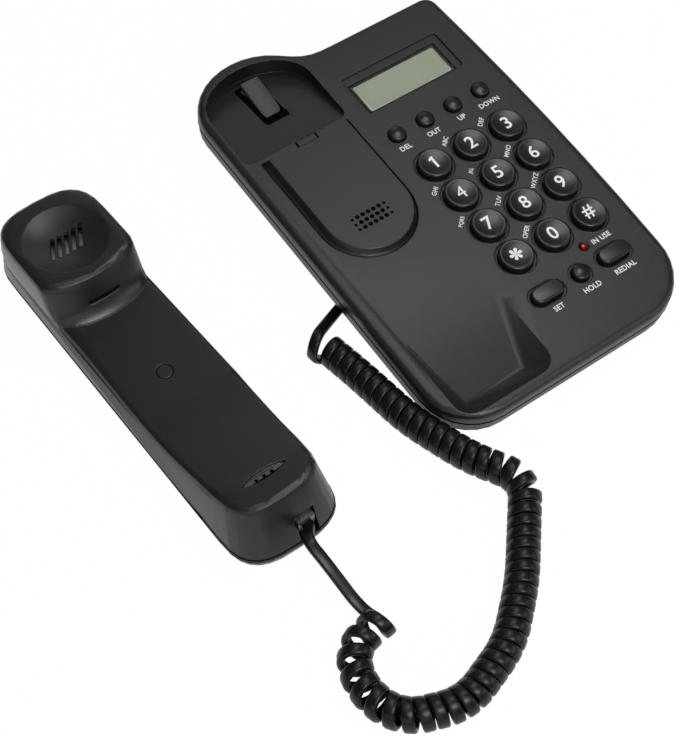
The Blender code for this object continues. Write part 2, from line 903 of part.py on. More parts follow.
def cut_hook_room(shell):
    centre = -half_width + hook_in
    reach = hook_width / 2 + hook_slot_side
    top = ear_cup_floor(pivot_v) + shell_wall / 2
    side = arc(pivot_v, -pivot_drop, ear_lug_radius, 180, 360, 8)
    side += [(pivot_v + ear_lug_radius, top), (pivot_v - ear_lug_radius, top)]
    for near in lug_places():
        corners = [(u, v, w) for u in (near, near + ear_lug_thickness) for v, w in side]
        join(shell, hull("hook_lug", corners, deck))
    slot = box("hook_slot", (centre - reach, hook_slot_front_v, -ear_depth_back - 2 * shell_wall),
               (centre + reach, hook_slot_back_v, 0.0), deck)
    cut(slot, box("lug_guard_left", (centre - reach - overrun, pivot_v - 2 * ear_lug_radius, -2 * pivot_drop),
                  (centre - hook_width / 2 - ear_lug_gap, pivot_v + ear_lug_radius, ear_floor(pivot_v)), deck))
    cut(slot, box("lug_guard_right", (centre + hook_width / 2 + ear_lug_gap, pivot_v - 2 * ear_lug_radius,
                                      -2 * pivot_drop),
                  (centre + reach + overrun, pivot_v + ear_lug_radius, ear_floor(pivot_v)), deck))
    bm = bmesh.new()
    outer = hook_width / 2 + ear_lug_gap + ear_lug_thickness + overrun
    add_rod(bm, (centre - outer, pivot_v, -pivot_drop), (1.0, 0.0, 0.0), 2 * outer,
            pivot_radius + pivot_clearance, 12)
    cut(shell, slot, mesh_object("pivot_bore", bm, deck))
    hook_u = -half_width + wall_hook_in
    room = fit_gap
    cut(shell, box("wall_hook_slot",
                   (hook_u - wall_hook_width / 2 - wall_hook_finger_gap, wall_hook_v - wall_hook_depth / 2 - room,
                    -wall_hook_length - 2 * overrun),
                   (hook_u + wall_hook_width / 2 + room, wall_hook_v + wall_hook_depth / 2 + room, overrun), deck))


def top_shell():
    outline = base_outline()
    shell = plate("base_top_shell", [outline], -top_side_height, 0.0, deck, black_plastic,
                  round_top=shoulder_radius)
    hollow_top_shell(shell, outline)
    pierce_top_shell(shell)
    cut_hook_room(shell)


def stand_outline(grow):
    return rounded_box(-half_width + stand_left_inset - grow, -half_length + stand_front_inset - grow,
                       half_width - stand_right_inset + grow, half_length - stand_back_inset + grow,
                       stand_radius, 3)


def table_plane(height):
    """Depth below the deck, by v, of a level plane at a height over the table."""
    def drop(v):
        return (height - deck_rise - v * math.sin(deck_lean)) / math.cos(deck_lean)
    return drop


def bottom_shell():
    outline = base_outline()
    side_top = -top_side_height - parting_gap
    shell = plate("base_bottom_shell", [inset(outline, lower_rim_inset)], -rim_height, side_top, deck,
                  black_plastic)
    lip_outer = shell_wall + fit_gap
    lip = plate("lip", [inset(outline, lip_outer)], -rim_height + shell_wall / 2,
                -top_side_height + lip_height, deck)
    stand = plate("stand", [stand_outline(0.0)], -rim_height - overrun, -rim_height + shell_wall / 2, deck,
                  low_at=table_plane(foot_height))
    hollow = plate("tray_hollow", [inset(outline, lip_outer + lip_thickness)], tray_floor, 0.0, deck)
    stand_hollow = plate("stand_hollow", [stand_outline(-shell_wall)], -rim_height - overrun,
                         tray_floor + overrun, deck, low_at=table_plane(foot_height + shell_wall))
    ear_grow = shell_wall + fit_gap
    ear_room = plate("ear_room", [ear_outline(ear_grow)], tray_floor, 0.0, deck)
    lip_room = plate("lip_room", [ear_outline(ear_grow + lip_thickness)], side_top, 0.0, deck)
    wells = rods("wells", screw_places(), -rim_height + shell_wall / 2, well_top(), well_radius, deck)
    join(shell, lip, stand)
    cut(shell, hollow, stand_hollow, ear_room, lip_room)
    join(shell, wells)
    seat = well_top() - well_seat_thickness
    cut(shell, rods("counterbores", screw_places(), -rim_height - overrun, seat,
                    screw_head_radius + fit_gap, deck))
    cut(shell, rods("shank_holes", screw_places(), seat - overrun, well_top() + overrun,
                    screw_shank_radius + fit_gap, deck, sides=10))
    cut_jack_windows(shell)
    for i, (x, y) in enumerate(foot_places()):
        bm = bmesh.new()
        add_rod(bm, (x, y, 0.0), (0.0, 0.0, 1.0), foot_height + foot_seat, foot_radius + fit_gap, 16)
        cut(shell, mesh_object("foot_seat_%d" % (i + 1), bm, base))


def cut_jack_windows(shell):
    """Openings in the stand's walls in front of the two jacks, and the thinned floor under one."""
    left = -half_width + stand_left_inset
    low, high = socket_band()
    reach = socket_width / 2
    cut(shell, box("handset_window", (left - overrun, handset_jack_y - reach, low - plug_tab),
                   (left + shell_wall + fit_gap / 2, handset_jack_y + reach, high), base))
    seat = reach + jack_wall + fit_gap
    cut(shell, box("handset_jack_seat", (left + shell_wall, handset_jack_y - seat, foot_height + jack_seat_floor),
                   (left + shell_wall + socket_length + jack_wall + 2 * fit_gap, handset_jack_y + seat, high),
                   base))
    back = half_length - stand_back_inset
    low, high = line_band()
    reach = line_socket_width / 2
    cut(shell, box("line_window", (line_jack_u - reach, back - shell_wall - fit_gap / 2, low),
                   (line_jack_u + reach, back + overrun, high), deck))


def socket_band():
    """Bottom and top of the handset socket's opening over the table, in the stand's left wall."""
    low = foot_height + jack_seat_floor + fit_gap + jack_floor
    return low, low + socket_height


def line_band():
    back = half_length - stand_back_inset
    floor = table_plane(foot_height + shell_wall)(back - line_jack_length - shell_wall)
    low = floor + 2 * jack_wall + fit_gap
    return low, low + line_socket_height


def foot_places():
    """The feet's places on the table, in the base's level frame."""
    places = []
    for u in (-half_width + stand_left_inset + foot_inset, half_width - stand_right_inset - foot_inset):
        for v in (-half_length + stand_front_inset + foot_inset, half_length - stand_back_inset - foot_inset):
            drop = table_plane(foot_height)(v)
            places.append((u, v * math.cos(deck_lean) - drop * math.sin(deck_lean)))
    return places


def feet():
    for i, (x, y) in enumerate(foot_places()):
        top = foot_height + foot_seat - fit_gap
        profile = [(0.0, top), (foot_radius, top), (foot_radius, foot_seat / 2), (foot_radius * 0.9, 0.0),
                   (0.0, 0.0)]
        turned("foot_%d" % (i + 1), profile, (x, y, 0.0), base, rubber, steps=16)


def case_screws():
    seat = well_top() - well_seat_thickness
    for i, (u, v) in enumerate(screw_places()):
        head_top = seat - fit_gap
        tip = well_top() + boss_bite
        profile = [(0.0, tip), (screw_shank_radius, tip - screw_shank_radius), (screw_shank_radius, head_top),
                   (screw_head_radius, head_top), (screw_head_radius, head_top - screw_head_height),
                   (0.0, head_top - screw_head_height)]
        turned("case_screw_%d" % (i + 1), profile, (u, v, 0.0), deck, steel, steps=12)


def dial_keys():
    """Twelve dished round keys, each turned, with the flange that keeps it under the deck."""
    flange_top = under_deck - fit_gap
    for name, (u, v) in key_places().items():
        profile = [
            (0.0, key_height - key_dish),
            (key_radius * 0.6, key_height - key_dish * 0.7),
            (key_radius - key_edge, key_height),
            (key_radius, key_height - key_edge),
            (key_radius, flange_top),
            (key_flange_radius, flange_top),
            (key_flange_radius, flange_top - key_flange_thickness),
            (key_radius * 0.6, key_stack),
            (0.0, key_stack),
        ]
        turned(name, profile, (u, v, 0.0), deck, key_plastic, steps=14)


def round_buttons():
    flange_top = under_deck - fit_gap
    places = dict(small_places())
    places["button_hold"] = (lower_row_u, lower_row_v)
    for name, (u, v) in places.items():
        profile = [
            (0.0, small_height),
            (small_radius * 0.6, small_height * 0.9),
            (small_radius * 0.92, small_height * 0.5),
            (small_radius, 0.0),
            (small_radius, flange_top),
            (small_radius + flange_width, flange_top),
            (small_radius + flange_width, key_stack),
            (0.0, key_stack),
        ]
        turned(name, profile, (u, v, 0.0), deck, key_plastic, steps=14)


def long_buttons():
    for side, name in ((-1, "button_set"), (1, "button_redial")):
        u = lower_row_u + side * lower_pitch
        rest = new_frame(name + "_place", (u, lower_row_v, 0.0), parent=deck)
        cap = plate(name, [long_outline(0.0, 0.0, 0.0)], key_stack, long_button_height, rest, key_plastic,
                    round_top=button_edge)
        flange = plate(name + "_flange", [long_outline(0.0, 0.0, flange_width)], key_stack + fit_gap,
                       under_deck - fit_gap, rest)
        join(cap, flange)


def in_use_lamp():
    flange_top = under_deck - fit_gap
    profile = [(0.0, lamp_height), (lamp_radius * 0.7, lamp_height * 0.75), (lamp_radius, 0.0),
               (lamp_radius, flange_top), (lamp_radius + lamp_flange, flange_top),
               (lamp_radius + lamp_flange, mat_top + fit_gap), (0.0, mat_top + fit_gap)]
    turned("in_use_lamp", profile, (lamp_u, lamp_v, 0.0), deck, lamp_red, steps=12)


def boards():
    low_u, low_v, high_u, high_v = board_outline()
    box("main_board", (low_u, low_v, board_top - board_thickness), (high_u, high_v, board_top), deck, board_green)
    box("key_mat", (mat_left_u, mat_front_v, mat_top - mat_thickness), (mat_right_u, mat_back_v, mat_top),
        deck, mat_grey)
    top = -display_bed_depth - fit_gap
    box("display_panel",
        (display_u - panel_width / 2, display_v - panel_height / 2 + window_lap, top - panel_thickness),
        (display_u + panel_width / 2, display_v + panel_height / 2 + window_lap, top), deck, display_glass)
    low_u, low_v, high_u, high_v = display_board_outline()
    box("display_board", (low_u, low_v, display_board_top() - board_thickness),
        (high_u, high_v, display_board_top()), deck, board_green)
    reach_u = display_width / 2 + window_lap
    reach_v = display_height / 2 + window_lap
    floor = -recess_depth - window_rebate + fit_gap
    box("display_window", (display_u - reach_u, display_v - reach_v, floor),
        (display_u + reach_u, display_v + reach_v, -recess_depth), deck, clear_plastic)


def hook_lever():
    """The grey lever that the handset presses; it turns on a pin under the pocket's floor."""
    centre = -half_width + hook_in
    pivot = new_frame("hook_pivot", (centre, pivot_v, -pivot_drop), parent=deck)
    reach = hook_width / 2
    front = hook_front_v - pivot_v
    back = hook_back_v - pivot_v
    front_top = pivot_drop - hook_front_drop
    back_top = pivot_drop - hook_back_drop
    corners = []
    for u in (-reach, reach):
        corners += [(u, front, front_top), (u, back, back_top),
                    (u, front, front_top - hook_thickness), (u, back, back_top - hook_thickness)]
    lever = hull("hook_lever", corners, pivot, lever_grey, soften=spring_wire / 2)
    arm = pivot_arm_width / 2
    neck = box("hook_neck", (-reach + fit_gap, 0.0, -pivot_radius / 2),
               (-reach + fit_gap + pivot_arm_width, front + hook_thickness, front_top - hook_thickness / 2), pivot)
    neck_far = box("hook_neck_far", (reach - fit_gap - pivot_arm_width, 0.0, -pivot_radius / 2),
                   (reach - fit_gap, front + hook_thickness, front_top - hook_thickness / 2), pivot)
    bm = bmesh.new()
    half = reach + ear_lug_gap + ear_lug_thickness
    add_rod(bm, (-half, 0.0, 0.0), (1.0, 0.0, 0.0), 2 * half, pivot_radius, 12)
    pin = mesh_object("hook_pin", bm, pivot)
    tail = box("hook_tail", (reach - fit_gap - arm, -tail_length, -tail_thickness / 2),
               (reach - fit_gap, 0.0, tail_thickness / 2), pivot)
    join(lever, neck, neck_far, pin, tail)


def hook_spring():
    """A small torsion spring round the lever's pin, between the lever's arms."""
    centre = -half_width + hook_in
    radius = pivot_radius + pivot_clearance + spring_wire / 2
    points = []
    count = spring_turns * spring_turn_points
    start = centre - spring_turns * spring_pitch / 2
    for i in range(count + 1):
        turn = 2 * math.pi * i / spring_turn_points
        u = start + spring_pitch * i / spring_turn_points
        points.append((u, pivot_v + radius * math.cos(turn), -pivot_drop + radius * math.sin(turn)))
    tube("hook_spring", points, spring_wire, deck, steel, resolution=1)


def hook_switch():
    centre = -half_width + hook_in
    back = pivot_v - ear_lug_radius - 2 * fit_gap
    top = ear_cup_floor(back) - fit_gap
    box("hook_switch", (centre - switch_width / 2, back - switch_length, top - switch_thickness),
        (centre + switch_width / 2, back, top), deck, switch_black)


def wall_hook():
    """The little reversible hook between the ear pocket and the tongue."""
    u = -half_width + wall_hook_in
    top = -fit_gap
    rest = new_frame("wall_hook_place", (u, wall_hook_v, 0.0), parent=deck)
    box("wall_hook", (-wall_hook_width / 2, -wall_hook_depth / 2, top - wall_hook_length),
        (wall_hook_width / 2, wall_hook_depth / 2, top), rest, black_plastic, edge=fit_gap)


def ringer_speaker():
    top = under_deck - fit_gap
    profile = [(0.0, top), (ringer_radius, top), (ringer_radius, top - ringer_rim_height),
               (ringer_magnet_radius, top - 2 * ringer_rim_height),
               (ringer_magnet_radius, top - ringer_thickness), (0.0, top - ringer_thickness)]
    turned("ringer_speaker", profile, (-half_width + grille_in, grille_v, 0.0), deck, steel, steps=20)


def base_jacks():
    left = -half_width + stand_left_inset + shell_wall + fit_gap
    low, high = socket_band()
    reach = socket_width / 2
    block = box("handset_jack", (left, handset_jack_y - reach - jack_wall, low - jack_floor),
                (left + socket_length + jack_wall, handset_jack_y + reach + jack_wall, high + jack_floor),
                base, jack_black)
    cut(block, box("handset_jack_socket", (left - overrun, handset_jack_y - reach, low),
                   (left + socket_length, handset_jack_y + reach, high), base))
    back = half_length - stand_back_inset - shell_wall - fit_gap
    low, high = line_band()
    reach = line_socket_width / 2
    block = box("line_jack", (line_jack_u - reach - jack_wall, back - line_jack_length, low - 2 * jack_wall),
                (line_jack_u + reach + jack_wall, back, high + 2 * jack_wall), deck, jack_black)
    cut(block, box("line_jack_socket", (line_jack_u - reach, back - line_jack_length + 2 * jack_wall, low),
                   (line_jack_u + reach, back + overrun, high), deck))


def plug(name, mouth, inward, up, frame):
    """A small four-way plug in a socket: mouth is the socket's middle, inward points into it."""
    reach = socket_width / 2 - plug_clearance
    rise = socket_height / 2 - plug_clearance
    depth = socket_length - fit_gap
    turn = Matrix((inward, Vector(up).cross(Vector(inward)), up)).transposed().to_4x4()
    bm = bmesh.new()
    bmesh.ops.create_cube(bm, size=1.0, matrix=Matrix.LocRotScale(
        ((depth - plug_grip_length) / 2, 0.0, 0.0), None, (depth + plug_grip_length, 2 * reach, 2 * rise)))
    bmesh.ops.bevel(bm, geom=bm.edges[:], offset=plug_clearance, segments=1, affect="EDGES")
    bmesh.ops.transform(bm, matrix=Matrix.Translation(mouth) @ turn, verts=bm.verts)
    body = mesh_object(name, bm, frame, plug_clear)
    tab = bmesh.new()
    bmesh.ops.create_cube(tab, size=1.0, matrix=Matrix.LocRotScale(
        (-plug_grip_length / 2, 0.0, rise), None, (plug_grip_length / 2, reach, 2 * plug_tab)))
    bmesh.ops.transform(tab, matrix=Matrix.Translation(mouth) @ turn, verts=tab.verts)
    join(body, mesh_object(name + "_tab", tab, frame))


def base_plug_mouth():
    low, high = socket_band()
    return Vector((-half_width + stand_left_inset + shell_wall + fit_gap, handset_jack_y, (low + high) / 2))


def base_plug():
    plug("base_plug", base_plug_mouth(), (1.0, 0.0, 0.0), (0.0, 0.0, -1.0), base)


def end_curve(reach, length, power, steps):
    """Half of a handset end: across from the side to the middle, and how far short of the tip."""
    points = []
    for i in range(steps + 1):
        turn = math.pi / 2 * i / steps
        across = reach * math.cos(turn) ** (2 / power)
        short = length * (1 - math.sin(turn) ** (2 / power))
        points.append((across, short))
    return points


def handset_outline(shrink, height):
    """Outline of the handset at a height: its end walls lean in above the parting line."""
    rise = max(0.0, height - handset_parting)
    ear_tip = handset_half - ear_end_lean * rise - shrink
    mouth_tip = handset_half - mouth_end_lean * rise - shrink
    ear = handset_ear_width / 2 - shrink
    mouth = handset_mouth_width / 2 - mouth_side_lean * rise - shrink
    low = end_curve(mouth, end_round_length, end_round_power, 7)
    high = end_curve(ear, end_round_length, end_round_power, 7)
    outline = [(-x, short - mouth_tip) for x, short in low]
    outline += [(x, short - mouth_tip) for x, short in reversed(low[:-1])]
    outline += [(x, ear_tip - short) for x, short in high]
    outline += [(-x, ear_tip - short) for x, short in reversed(high[:-1])]
    return outline


def ear_outline_at(shrink, front, height):
    """Outline of the ear block: a bowed front and a round back, a little fuller at the top."""
    swell = ear_swell * (2 * min(1.0, (height - neck_height) / ear_swell_height) - 1)
    reach = handset_ear_width / 2 + swell - shrink
    tip = handset_half + swell - ear_end_lean * (height - handset_parting) - shrink
    low = end_curve(reach, ear_front_round, 2.0, 6)
    high = end_curve(reach, ear_back_round, end_round_power, 7)
    outline = [(-x, front + shrink + short) for x, short in low]
    outline += [(x, front + shrink + short) for x, short in reversed(low[:-1])]
    outline += [(x, tip - short) for x, short in high]
    outline += [(-x, tip - short) for x, short in reversed(high[:-1])]
    return outline


def stack(name, rings, frame, finish=None):
    """A solid through outlines at rising heights; all outlines have the same number of points."""
    bm = bmesh.new()
    loops = [[bm.verts.new((x, y, height)) for x, y in outline] for outline, height in rings]
    for low, high in zip(loops, loops[1:]):
        for i in range(len(low)):
            bm.faces.new((low[i - 1], low[i], high[i], high[i - 1]))
    bm.faces.new(loops[0])
    bm.faces.new(loops[-1])
    return mesh_object(name, bm, frame, finish)


def ear_block(name, shrink, sink):
    """The ear end above the neck, or the room inside it with its ceiling sunk below the dish."""
    top = ear_height - shrink - sink
    rings = []
    for height, front in ear_front_steps:
        if height < top - ear_top_round:
            rings.append((ear_outline_at(shrink, front, height), height))
    front = ear_front_steps[-1][1]
    for share, inward in ((1.0, 0.0), (0.4, 0.3), (0.0, 1.0)):
        height = top - ear_top_round * share
        rings.append((ear_outline_at(shrink + ear_top_round * inward, front, height), height))
    return stack(name, rings, handset)


def body_profile(shrink):
    """Side view of the grip and the mouth end, y along it and z up, carried on past both ends."""
    grip = grip_height - shrink
    mouth = mouth_height - shrink
    points = [(handset_half + overrun, -overrun), (handset_half + overrun, grip), (grip_end_y, grip)]
    steps = 6
    turned_share = 0.5 - 0.5 * math.cos(math.pi * 0.82)
    for i in range(1, steps + 1):
        t = i / steps
        share = (0.5 - 0.5 * math.cos(math.pi * 0.82 * t)) / turned_share
        points.append((grip_end_y + (ridge_y - grip_end_y) * t, grip + (mouth - grip) * share))
    points += [(-handset_half - overrun, mouth), (-handset_half - overrun, -overrun)]
    return points


def handset_form(name, shrink, sink, finish=None, soften=0.0):
    """The handset's face form, or the room inside it: its side view across its top view."""
    reach = handset_mouth_width / 2 + overrun
    body = plate(name, [body_profile(shrink)], -reach, reach, handset, finish)
    upright = Matrix(((0.0, 0.0, 1.0), (1.0, 0.0, 0.0), (0.0, 1.0, 0.0))).to_4x4()
    body.data.transform(upright)
    top = ear_height + overrun
    rings = [(handset_outline(shrink, height), height) for height in (0.0, handset_parting, top)]
    combine(body, stack(name + "_plan", rings, handset), "INTERSECT")
    if soften:
        edge = body.modifiers.new("soften", "BEVEL")
        edge.width = soften
        edge.segments = 2
        edge.limit_method = "ANGLE"
        edge.angle_limit = math.radians(40)
    join(body, ear_block(name + "_ear", shrink, sink))
    return body


def slab(name, low, high):
    reach = 2 * handset_half
    return box(name, (-reach, -reach, low), (reach, reach, high), handset)


def handset_shells():
    inner = handset_form("handset_inner_shell", 0.0, 0.0, handset_plastic, soften=handset_edge)
    cut(inner, slab("below_parting", -2 * overrun, handset_parting + fit_gap),
        handset_form("handset_room", handset_wall, dish_depth))
    fit_inner_shell(inner)
    rings = low_rings(0.0)
    outer = stack("handset_outer_shell", rings + [(handset_outline(0.0, 0.0), handset_parting)], handset,
                  handset_plastic)
    above = handset_parting + overrun
    rings = low_rings(handset_wall) + [(handset_outline(handset_wall, 0.0), above)]
    cut(outer, stack("outer_room", rings, handset))
    fit_outer_shell(outer)


def low_rings(shrink):
    """Rings of the back shell's round lower edge, a wall's thickness further in for its hollow."""
    radius = handset_low_round - shrink
    rings = []
    for i in range(4):
        turn = math.pi / 2 * i / 3
        inward = shrink + radius * (1 - math.sin(turn))
        rings.append((handset_outline(inward, 0.0), shrink + radius * (1 - math.cos(turn))))
    return rings


def fit_inner_shell(inner):
    """Dish, slots, scoop, screw boss and socket opening of the handset's face shell."""
    sphere_radius = (dish_radius ** 2 + dish_depth ** 2) / (2 * dish_depth)
    bm = bmesh.new()
    bmesh.ops.create_uvsphere(bm, u_segments=24, v_segments=36, radius=sphere_radius)
    high = [v for v in bm.verts if v.co.z > -sphere_radius + 3 * dish_depth]
    bmesh.ops.delete(bm, geom=high, context="VERTS")
    rim = [e for e in bm.edges if e.is_boundary]
    bmesh.ops.holes_fill(bm, edges=rim)
    lift = Vector((0.0, dish_y, ear_height + sphere_radius - dish_depth))
    bmesh.ops.translate(bm, verts=bm.verts, vec=lift)
    cut(inner, mesh_object("dish", bm, handset))
    lean = math.radians(slot_lean)
    for i in range(slot_count):
        x = (i - (slot_count - 1) / 2) * slot_pitch
        reach = slot_length / 2
        corners = [(-slot_width / 2, -reach), (slot_width / 2, -reach), (slot_width / 2, reach),
                   (-slot_width / 2, reach)]
        outline = [(x + a * math.cos(lean) + b * math.sin(lean),
                    dish_y - a * math.sin(lean) + b * math.cos(lean)) for a, b in corners]
        cut(inner, plate("ear_slot", [outline], ear_height / 2, ear_height, handset))
    cut(inner, hang_slot(), scoop(), scoop_holes())
    boss_top = grip_height - handset_wall / 2
    boss = rods("hand_boss", [(0.0, cover_y)], hand_boss_floor, boss_top, hand_boss_radius, handset)
    join(inner, boss)
    well = rods("cover_well", [(0.0, cover_y)], grip_height - cover_thickness - 2 * fit_gap,
                grip_height + overrun, cover_radius + fit_gap, handset, sides=16)
    bore = rods("hand_bore", [(0.0, cover_y)], hand_boss_floor + shell_wall + fit_gap,
                grip_height + overrun, screw_head_radius + fit_gap, handset)
    pilot = rods("hand_pilot", [(0.0, cover_y)], 0.0, grip_height, screw_shank_radius + fit_gap,
                 handset, sides=10)
    cut(inner, well, bore, pilot, handset_socket_window())


def hang_slot():
    """The slit in the ear block's front wall that hangs on the wall hook."""
    front = ear_front_steps[0][1]
    back = ear_front_steps[-1][1] + hang_slot_depth
    return box("hang_slot", (-hang_slot_width / 2, front, hang_slot_z - hang_slot_height / 2),
               (hang_slot_width / 2, back, hang_slot_z + hang_slot_height / 2), handset)


def face_height(y):
    """Height of the handset's face between the grip and the ridge."""
    t = (y - grip_end_y) / (ridge_y - grip_end_y)
    full = 0.5 - 0.5 * math.cos(math.pi * 0.82)
    share = (0.5 - 0.5 * math.cos(math.pi * t * 0.82)) / full
    return grip_height + (mouth_height - grip_height) * share


def scoop():
    """A lens-shaped scoop in front of the microphone."""
    chord = scoop_length / 2
    sag = scoop_width / 2
    radius = (chord * chord + sag * sag) / (2 * sag)
    spread = math.degrees(math.asin(chord / radius))
    upper = arc(0.0, scoop_y + sag - radius, radius, 90 + spread, 90 - spread, 6)
    lower = arc(0.0, scoop_y - sag + radius, radius, -90 + spread, -90 - spread, 6)
    floor = face_height(scoop_y) - scoop_depth
    outline = upper[:-1] + lower[:-1]
    outline.reverse()
    return plate("scoop", [outline], floor, floor + 2 * scoop_depth + overrun, handset)


def scoop_holes():
    places = [((i - (scoop_hole_count - 1) / 2) * scoop_hole_pitch, scoop_y) for i in range(scoop_hole_count)]
    floor = face_height(scoop_y) - scoop_depth
    return rods("scoop_holes", places, floor - 2 * handset_wall - overrun, floor + overrun, scoop_hole / 2,
                handset, sides=8)


def handset_socket_window():
    reach = hand_window_width / 2
    return box("socket_window", (hand_socket_x - reach, -handset_half - overrun, 0.0),
               (hand_socket_x + reach, socket_mouth_y(), hand_window_top), handset)


def socket_mouth_y():
    """Front face of the handset's socket block, just inside the end wall."""
    return -handset_half + hand_socket_in


def fit_outer_shell(outer):
    join(outer, rods("hand_post", [(0.0, cover_y)], handset_wall / 2, hand_boss_floor - fit_gap,
                     hand_boss_radius, handset))
    cut(outer, rods("hand_post_bore", [(0.0, cover_y)], 2 * handset_wall, handset_parting + overrun,
                    screw_shank_radius + fit_gap, handset, sides=10))


def handset_fittings():
    ceiling = ear_height - handset_wall - dish_depth
    gasket_top = ceiling - fit_gap
    rings = [arc(0.0, dish_y, radius, 0, 342, 19) for radius in (receiver_radius, receiver_radius - gasket_width)]
    plate("receiver_gasket", rings, gasket_top - gasket_thickness, gasket_top, handset, foam)
    top = gasket_top - gasket_thickness - fit_gap
    turned("receiver_capsule", [
        (0.0, top), (receiver_radius, top), (receiver_radius, top - receiver_height * 0.6),
        (receiver_radius * 0.7, top - receiver_height), (0.0, top - receiver_height)],
        (0.0, dish_y, 0.0), handset, steel, steps=20)
    floor = face_height(scoop_y) - scoop_depth - handset_wall
    turned("microphone", [
        (0.0, floor), (microphone_radius, floor), (microphone_radius, floor - microphone_height),
        (0.0, floor - microphone_height)], (0.0, microphone_y, -handset_wall), handset, steel, steps=14)
    low = handset_wall + fit_gap
    box("handset_weight", (-weight_width / 2, weight_y - weight_length / 2, low),
        (weight_width / 2, weight_y + weight_length / 2, low + weight_height), handset, steel, edge=fit_gap)
    seat = hand_boss_floor + shell_wall + 2 * fit_gap
    turned("handset_screw", [
        (0.0, seat + screw_head_height), (screw_head_radius, seat + screw_head_height),
        (screw_head_radius, seat), (screw_shank_radius, seat),
        (screw_shank_radius, 2 * handset_wall + fit_gap), (0.0, 2 * handset_wall + fit_gap)],
        (0.0, cover_y, 0.0), handset, steel, steps=12)
    cover_top = grip_height
    turned("screw_cover", [
        (0.0, cover_top), (cover_radius, cover_top), (cover_radius, cover_top - cover_thickness),
        (0.0, cover_top - cover_thickness)], (0.0, cover_y, 0.0), handset, handset_plastic, steps=16)
    handset_socket()


def handset_socket():
    mouth = socket_mouth_y() + fit_gap
    reach = socket_width / 2
    low = hand_socket_z - socket_height / 2
    high = hand_socket_z + socket_height / 2
    block = box("handset_socket", (hand_socket_x - reach - jack_wall, mouth, low - jack_wall),
                (hand_socket_x + reach + jack_wall, mouth + socket_length + jack_wall, high + jack_floor),
                handset, jack_black)
    cut(block, box("handset_socket_room", (hand_socket_x - reach, mouth - overrun, low),
                   (hand_socket_x + reach, mouth + socket_length, high), handset))
    plug("handset_plug", handset_plug_mouth(), (0.0, 1.0, 0.0), (0.0, 0.0, 1.0), handset)


def handset_plug_mouth():
    return Vector((hand_socket_x, socket_mouth_y() + fit_gap, hand_socket_z))


def rounded_route(corners, reach, step):
    """Even steps along the route through the corners, each corner rounded by an arc."""
    spots = [Vector(p) for p in corners]
    line = [spots[0]]
    for before, here, after in zip(spots, spots[1:], spots[2:]):
        room_before = (here - before).length * (1.0 if before is spots[0] else 0.5)
        room_after = (after - here).length * (1.0 if after is spots[-1] else 0.5)
        trim = min(reach, room_before, room_after)
        start = here + (before - here).normalized() * trim
        end = here + (after - here).normalized() * trim
        turn = (here - start).angle(end - here)
        if turn < flat_angle:
            line.append(here)
            continue
        radius = trim / math.tan(turn / 2)
        centre = here + ((start + end) / 2 - here).normalized() * (radius / math.cos(turn / 2))
        pieces = max(2, math.ceil(turn * radius / step))
        for i in range(pieces + 1):
            share = math.sin(turn * (1 - i / pieces)) / math.sin(turn), math.sin(turn * i / pieces) / math.sin(turn)
            line.append(centre + (start - centre) * share[0] + (end - centre) * share[1])
    line.append(spots[-1])
    return even_steps(line, step)


def even_steps(line, step):
    whole = sum((b - a).length for a, b in zip(line, line[1:]))
    count = max(1, round(whole / step))
    points = [line[0]]
    travelled = 0.0
    for near, far in zip(line, line[1:]):
        gap = (far - near).length
        while len(points) < count and travelled + gap >= whole * len(points) / count:
            share = (whole * len(points) / count - travelled) / gap
            points.append(near.lerp(far, share))
        travelled += gap
    points.append(line[-1])
    return points


def turn_pitch(along):
    """Spacing of the turns: loose at the handset end, opened again at the sharp bend."""
    loose = max(0.0, 1 - along / coil_loose_length)
    kink = math.exp(-((along - coil_kink_at) / coil_kink_width) ** 2)
    return coil_pitch + (coil_loose_pitch - coil_pitch) * loose + (coil_kink_pitch - coil_pitch) * kink


def coil_points():
    """The curly cord's centreline: one unbroken helix that starts underneath and ends low at its left."""
    axis = rounded_route([(x, y, coil_height) for x, y in coil_route], coil_bend_reach, coil_step)
    turns = [0.0]
    for i in range(len(axis) - 1):
        turns.append(turns[-1] + (axis[i + 1] - axis[i]).length / turn_pitch(coil_step * i))
    whole = math.floor(turns[-1]) + 0.125
    turns = [turn * whole / turns[-1] for turn in turns]
    count = math.ceil(whole * coil_turn_points)
    helix = [helix_point(axis, turns, whole * k / count) for k in range(count + 1)]
    nudge = 0.001
    first = (helix[0] - helix_point(axis, turns, nudge)).normalized()
    last = (helix[-1] - helix_point(axis, turns, whole - nudge)).normalized()
    return [helix[0] + first * lead_straight] + helix + [helix[-1] + last * lead_straight]


def helix_point(axis, turns, wanted):
    """The cord's place after so many turns round the axis."""
    index = min(bisect.bisect_right(turns, wanted), len(turns) - 1) - 1
    share = (wanted - turns[index]) / (turns[index + 1] - turns[index])
    up = Vector((0.0, 0.0, 1.0))
    side = (axis[index + 1] - axis[index]).cross(up).normalized()
    phase = -2 * math.pi * (wanted + 0.25)
    centre = axis[index].lerp(axis[index + 1], share)
    return centre + coil_radius * (math.cos(phase) * side + math.sin(phase) * up)


def least_gap(points):
    """The least room between one stretch of the tube and the others near it."""
    best = math.inf
    apart = coil_turn_points // 2 + 1
    for i, here in enumerate(points):
        for there in points[i + apart:i + 3 * coil_turn_points]:
            best = min(best, (there - here).length)
    return best - cord_width


def lead(name, start, before, middle, end, after):
    """A plain stretch of cord from start to end, leaving each of them the way it is told to."""
    first = (start - before).normalized()
    last = (end - after).normalized()
    route = [start + first * lead_straight] + [Vector(spot) for spot in middle] + [end + last * lead_straight]
    points = [start + first * fit_gap] + rounded_route(route, lead_bend_reach, lead_step) + [end + last * fit_gap]
    tube(name, points, cord_width, None, cord_black, resolution=1)


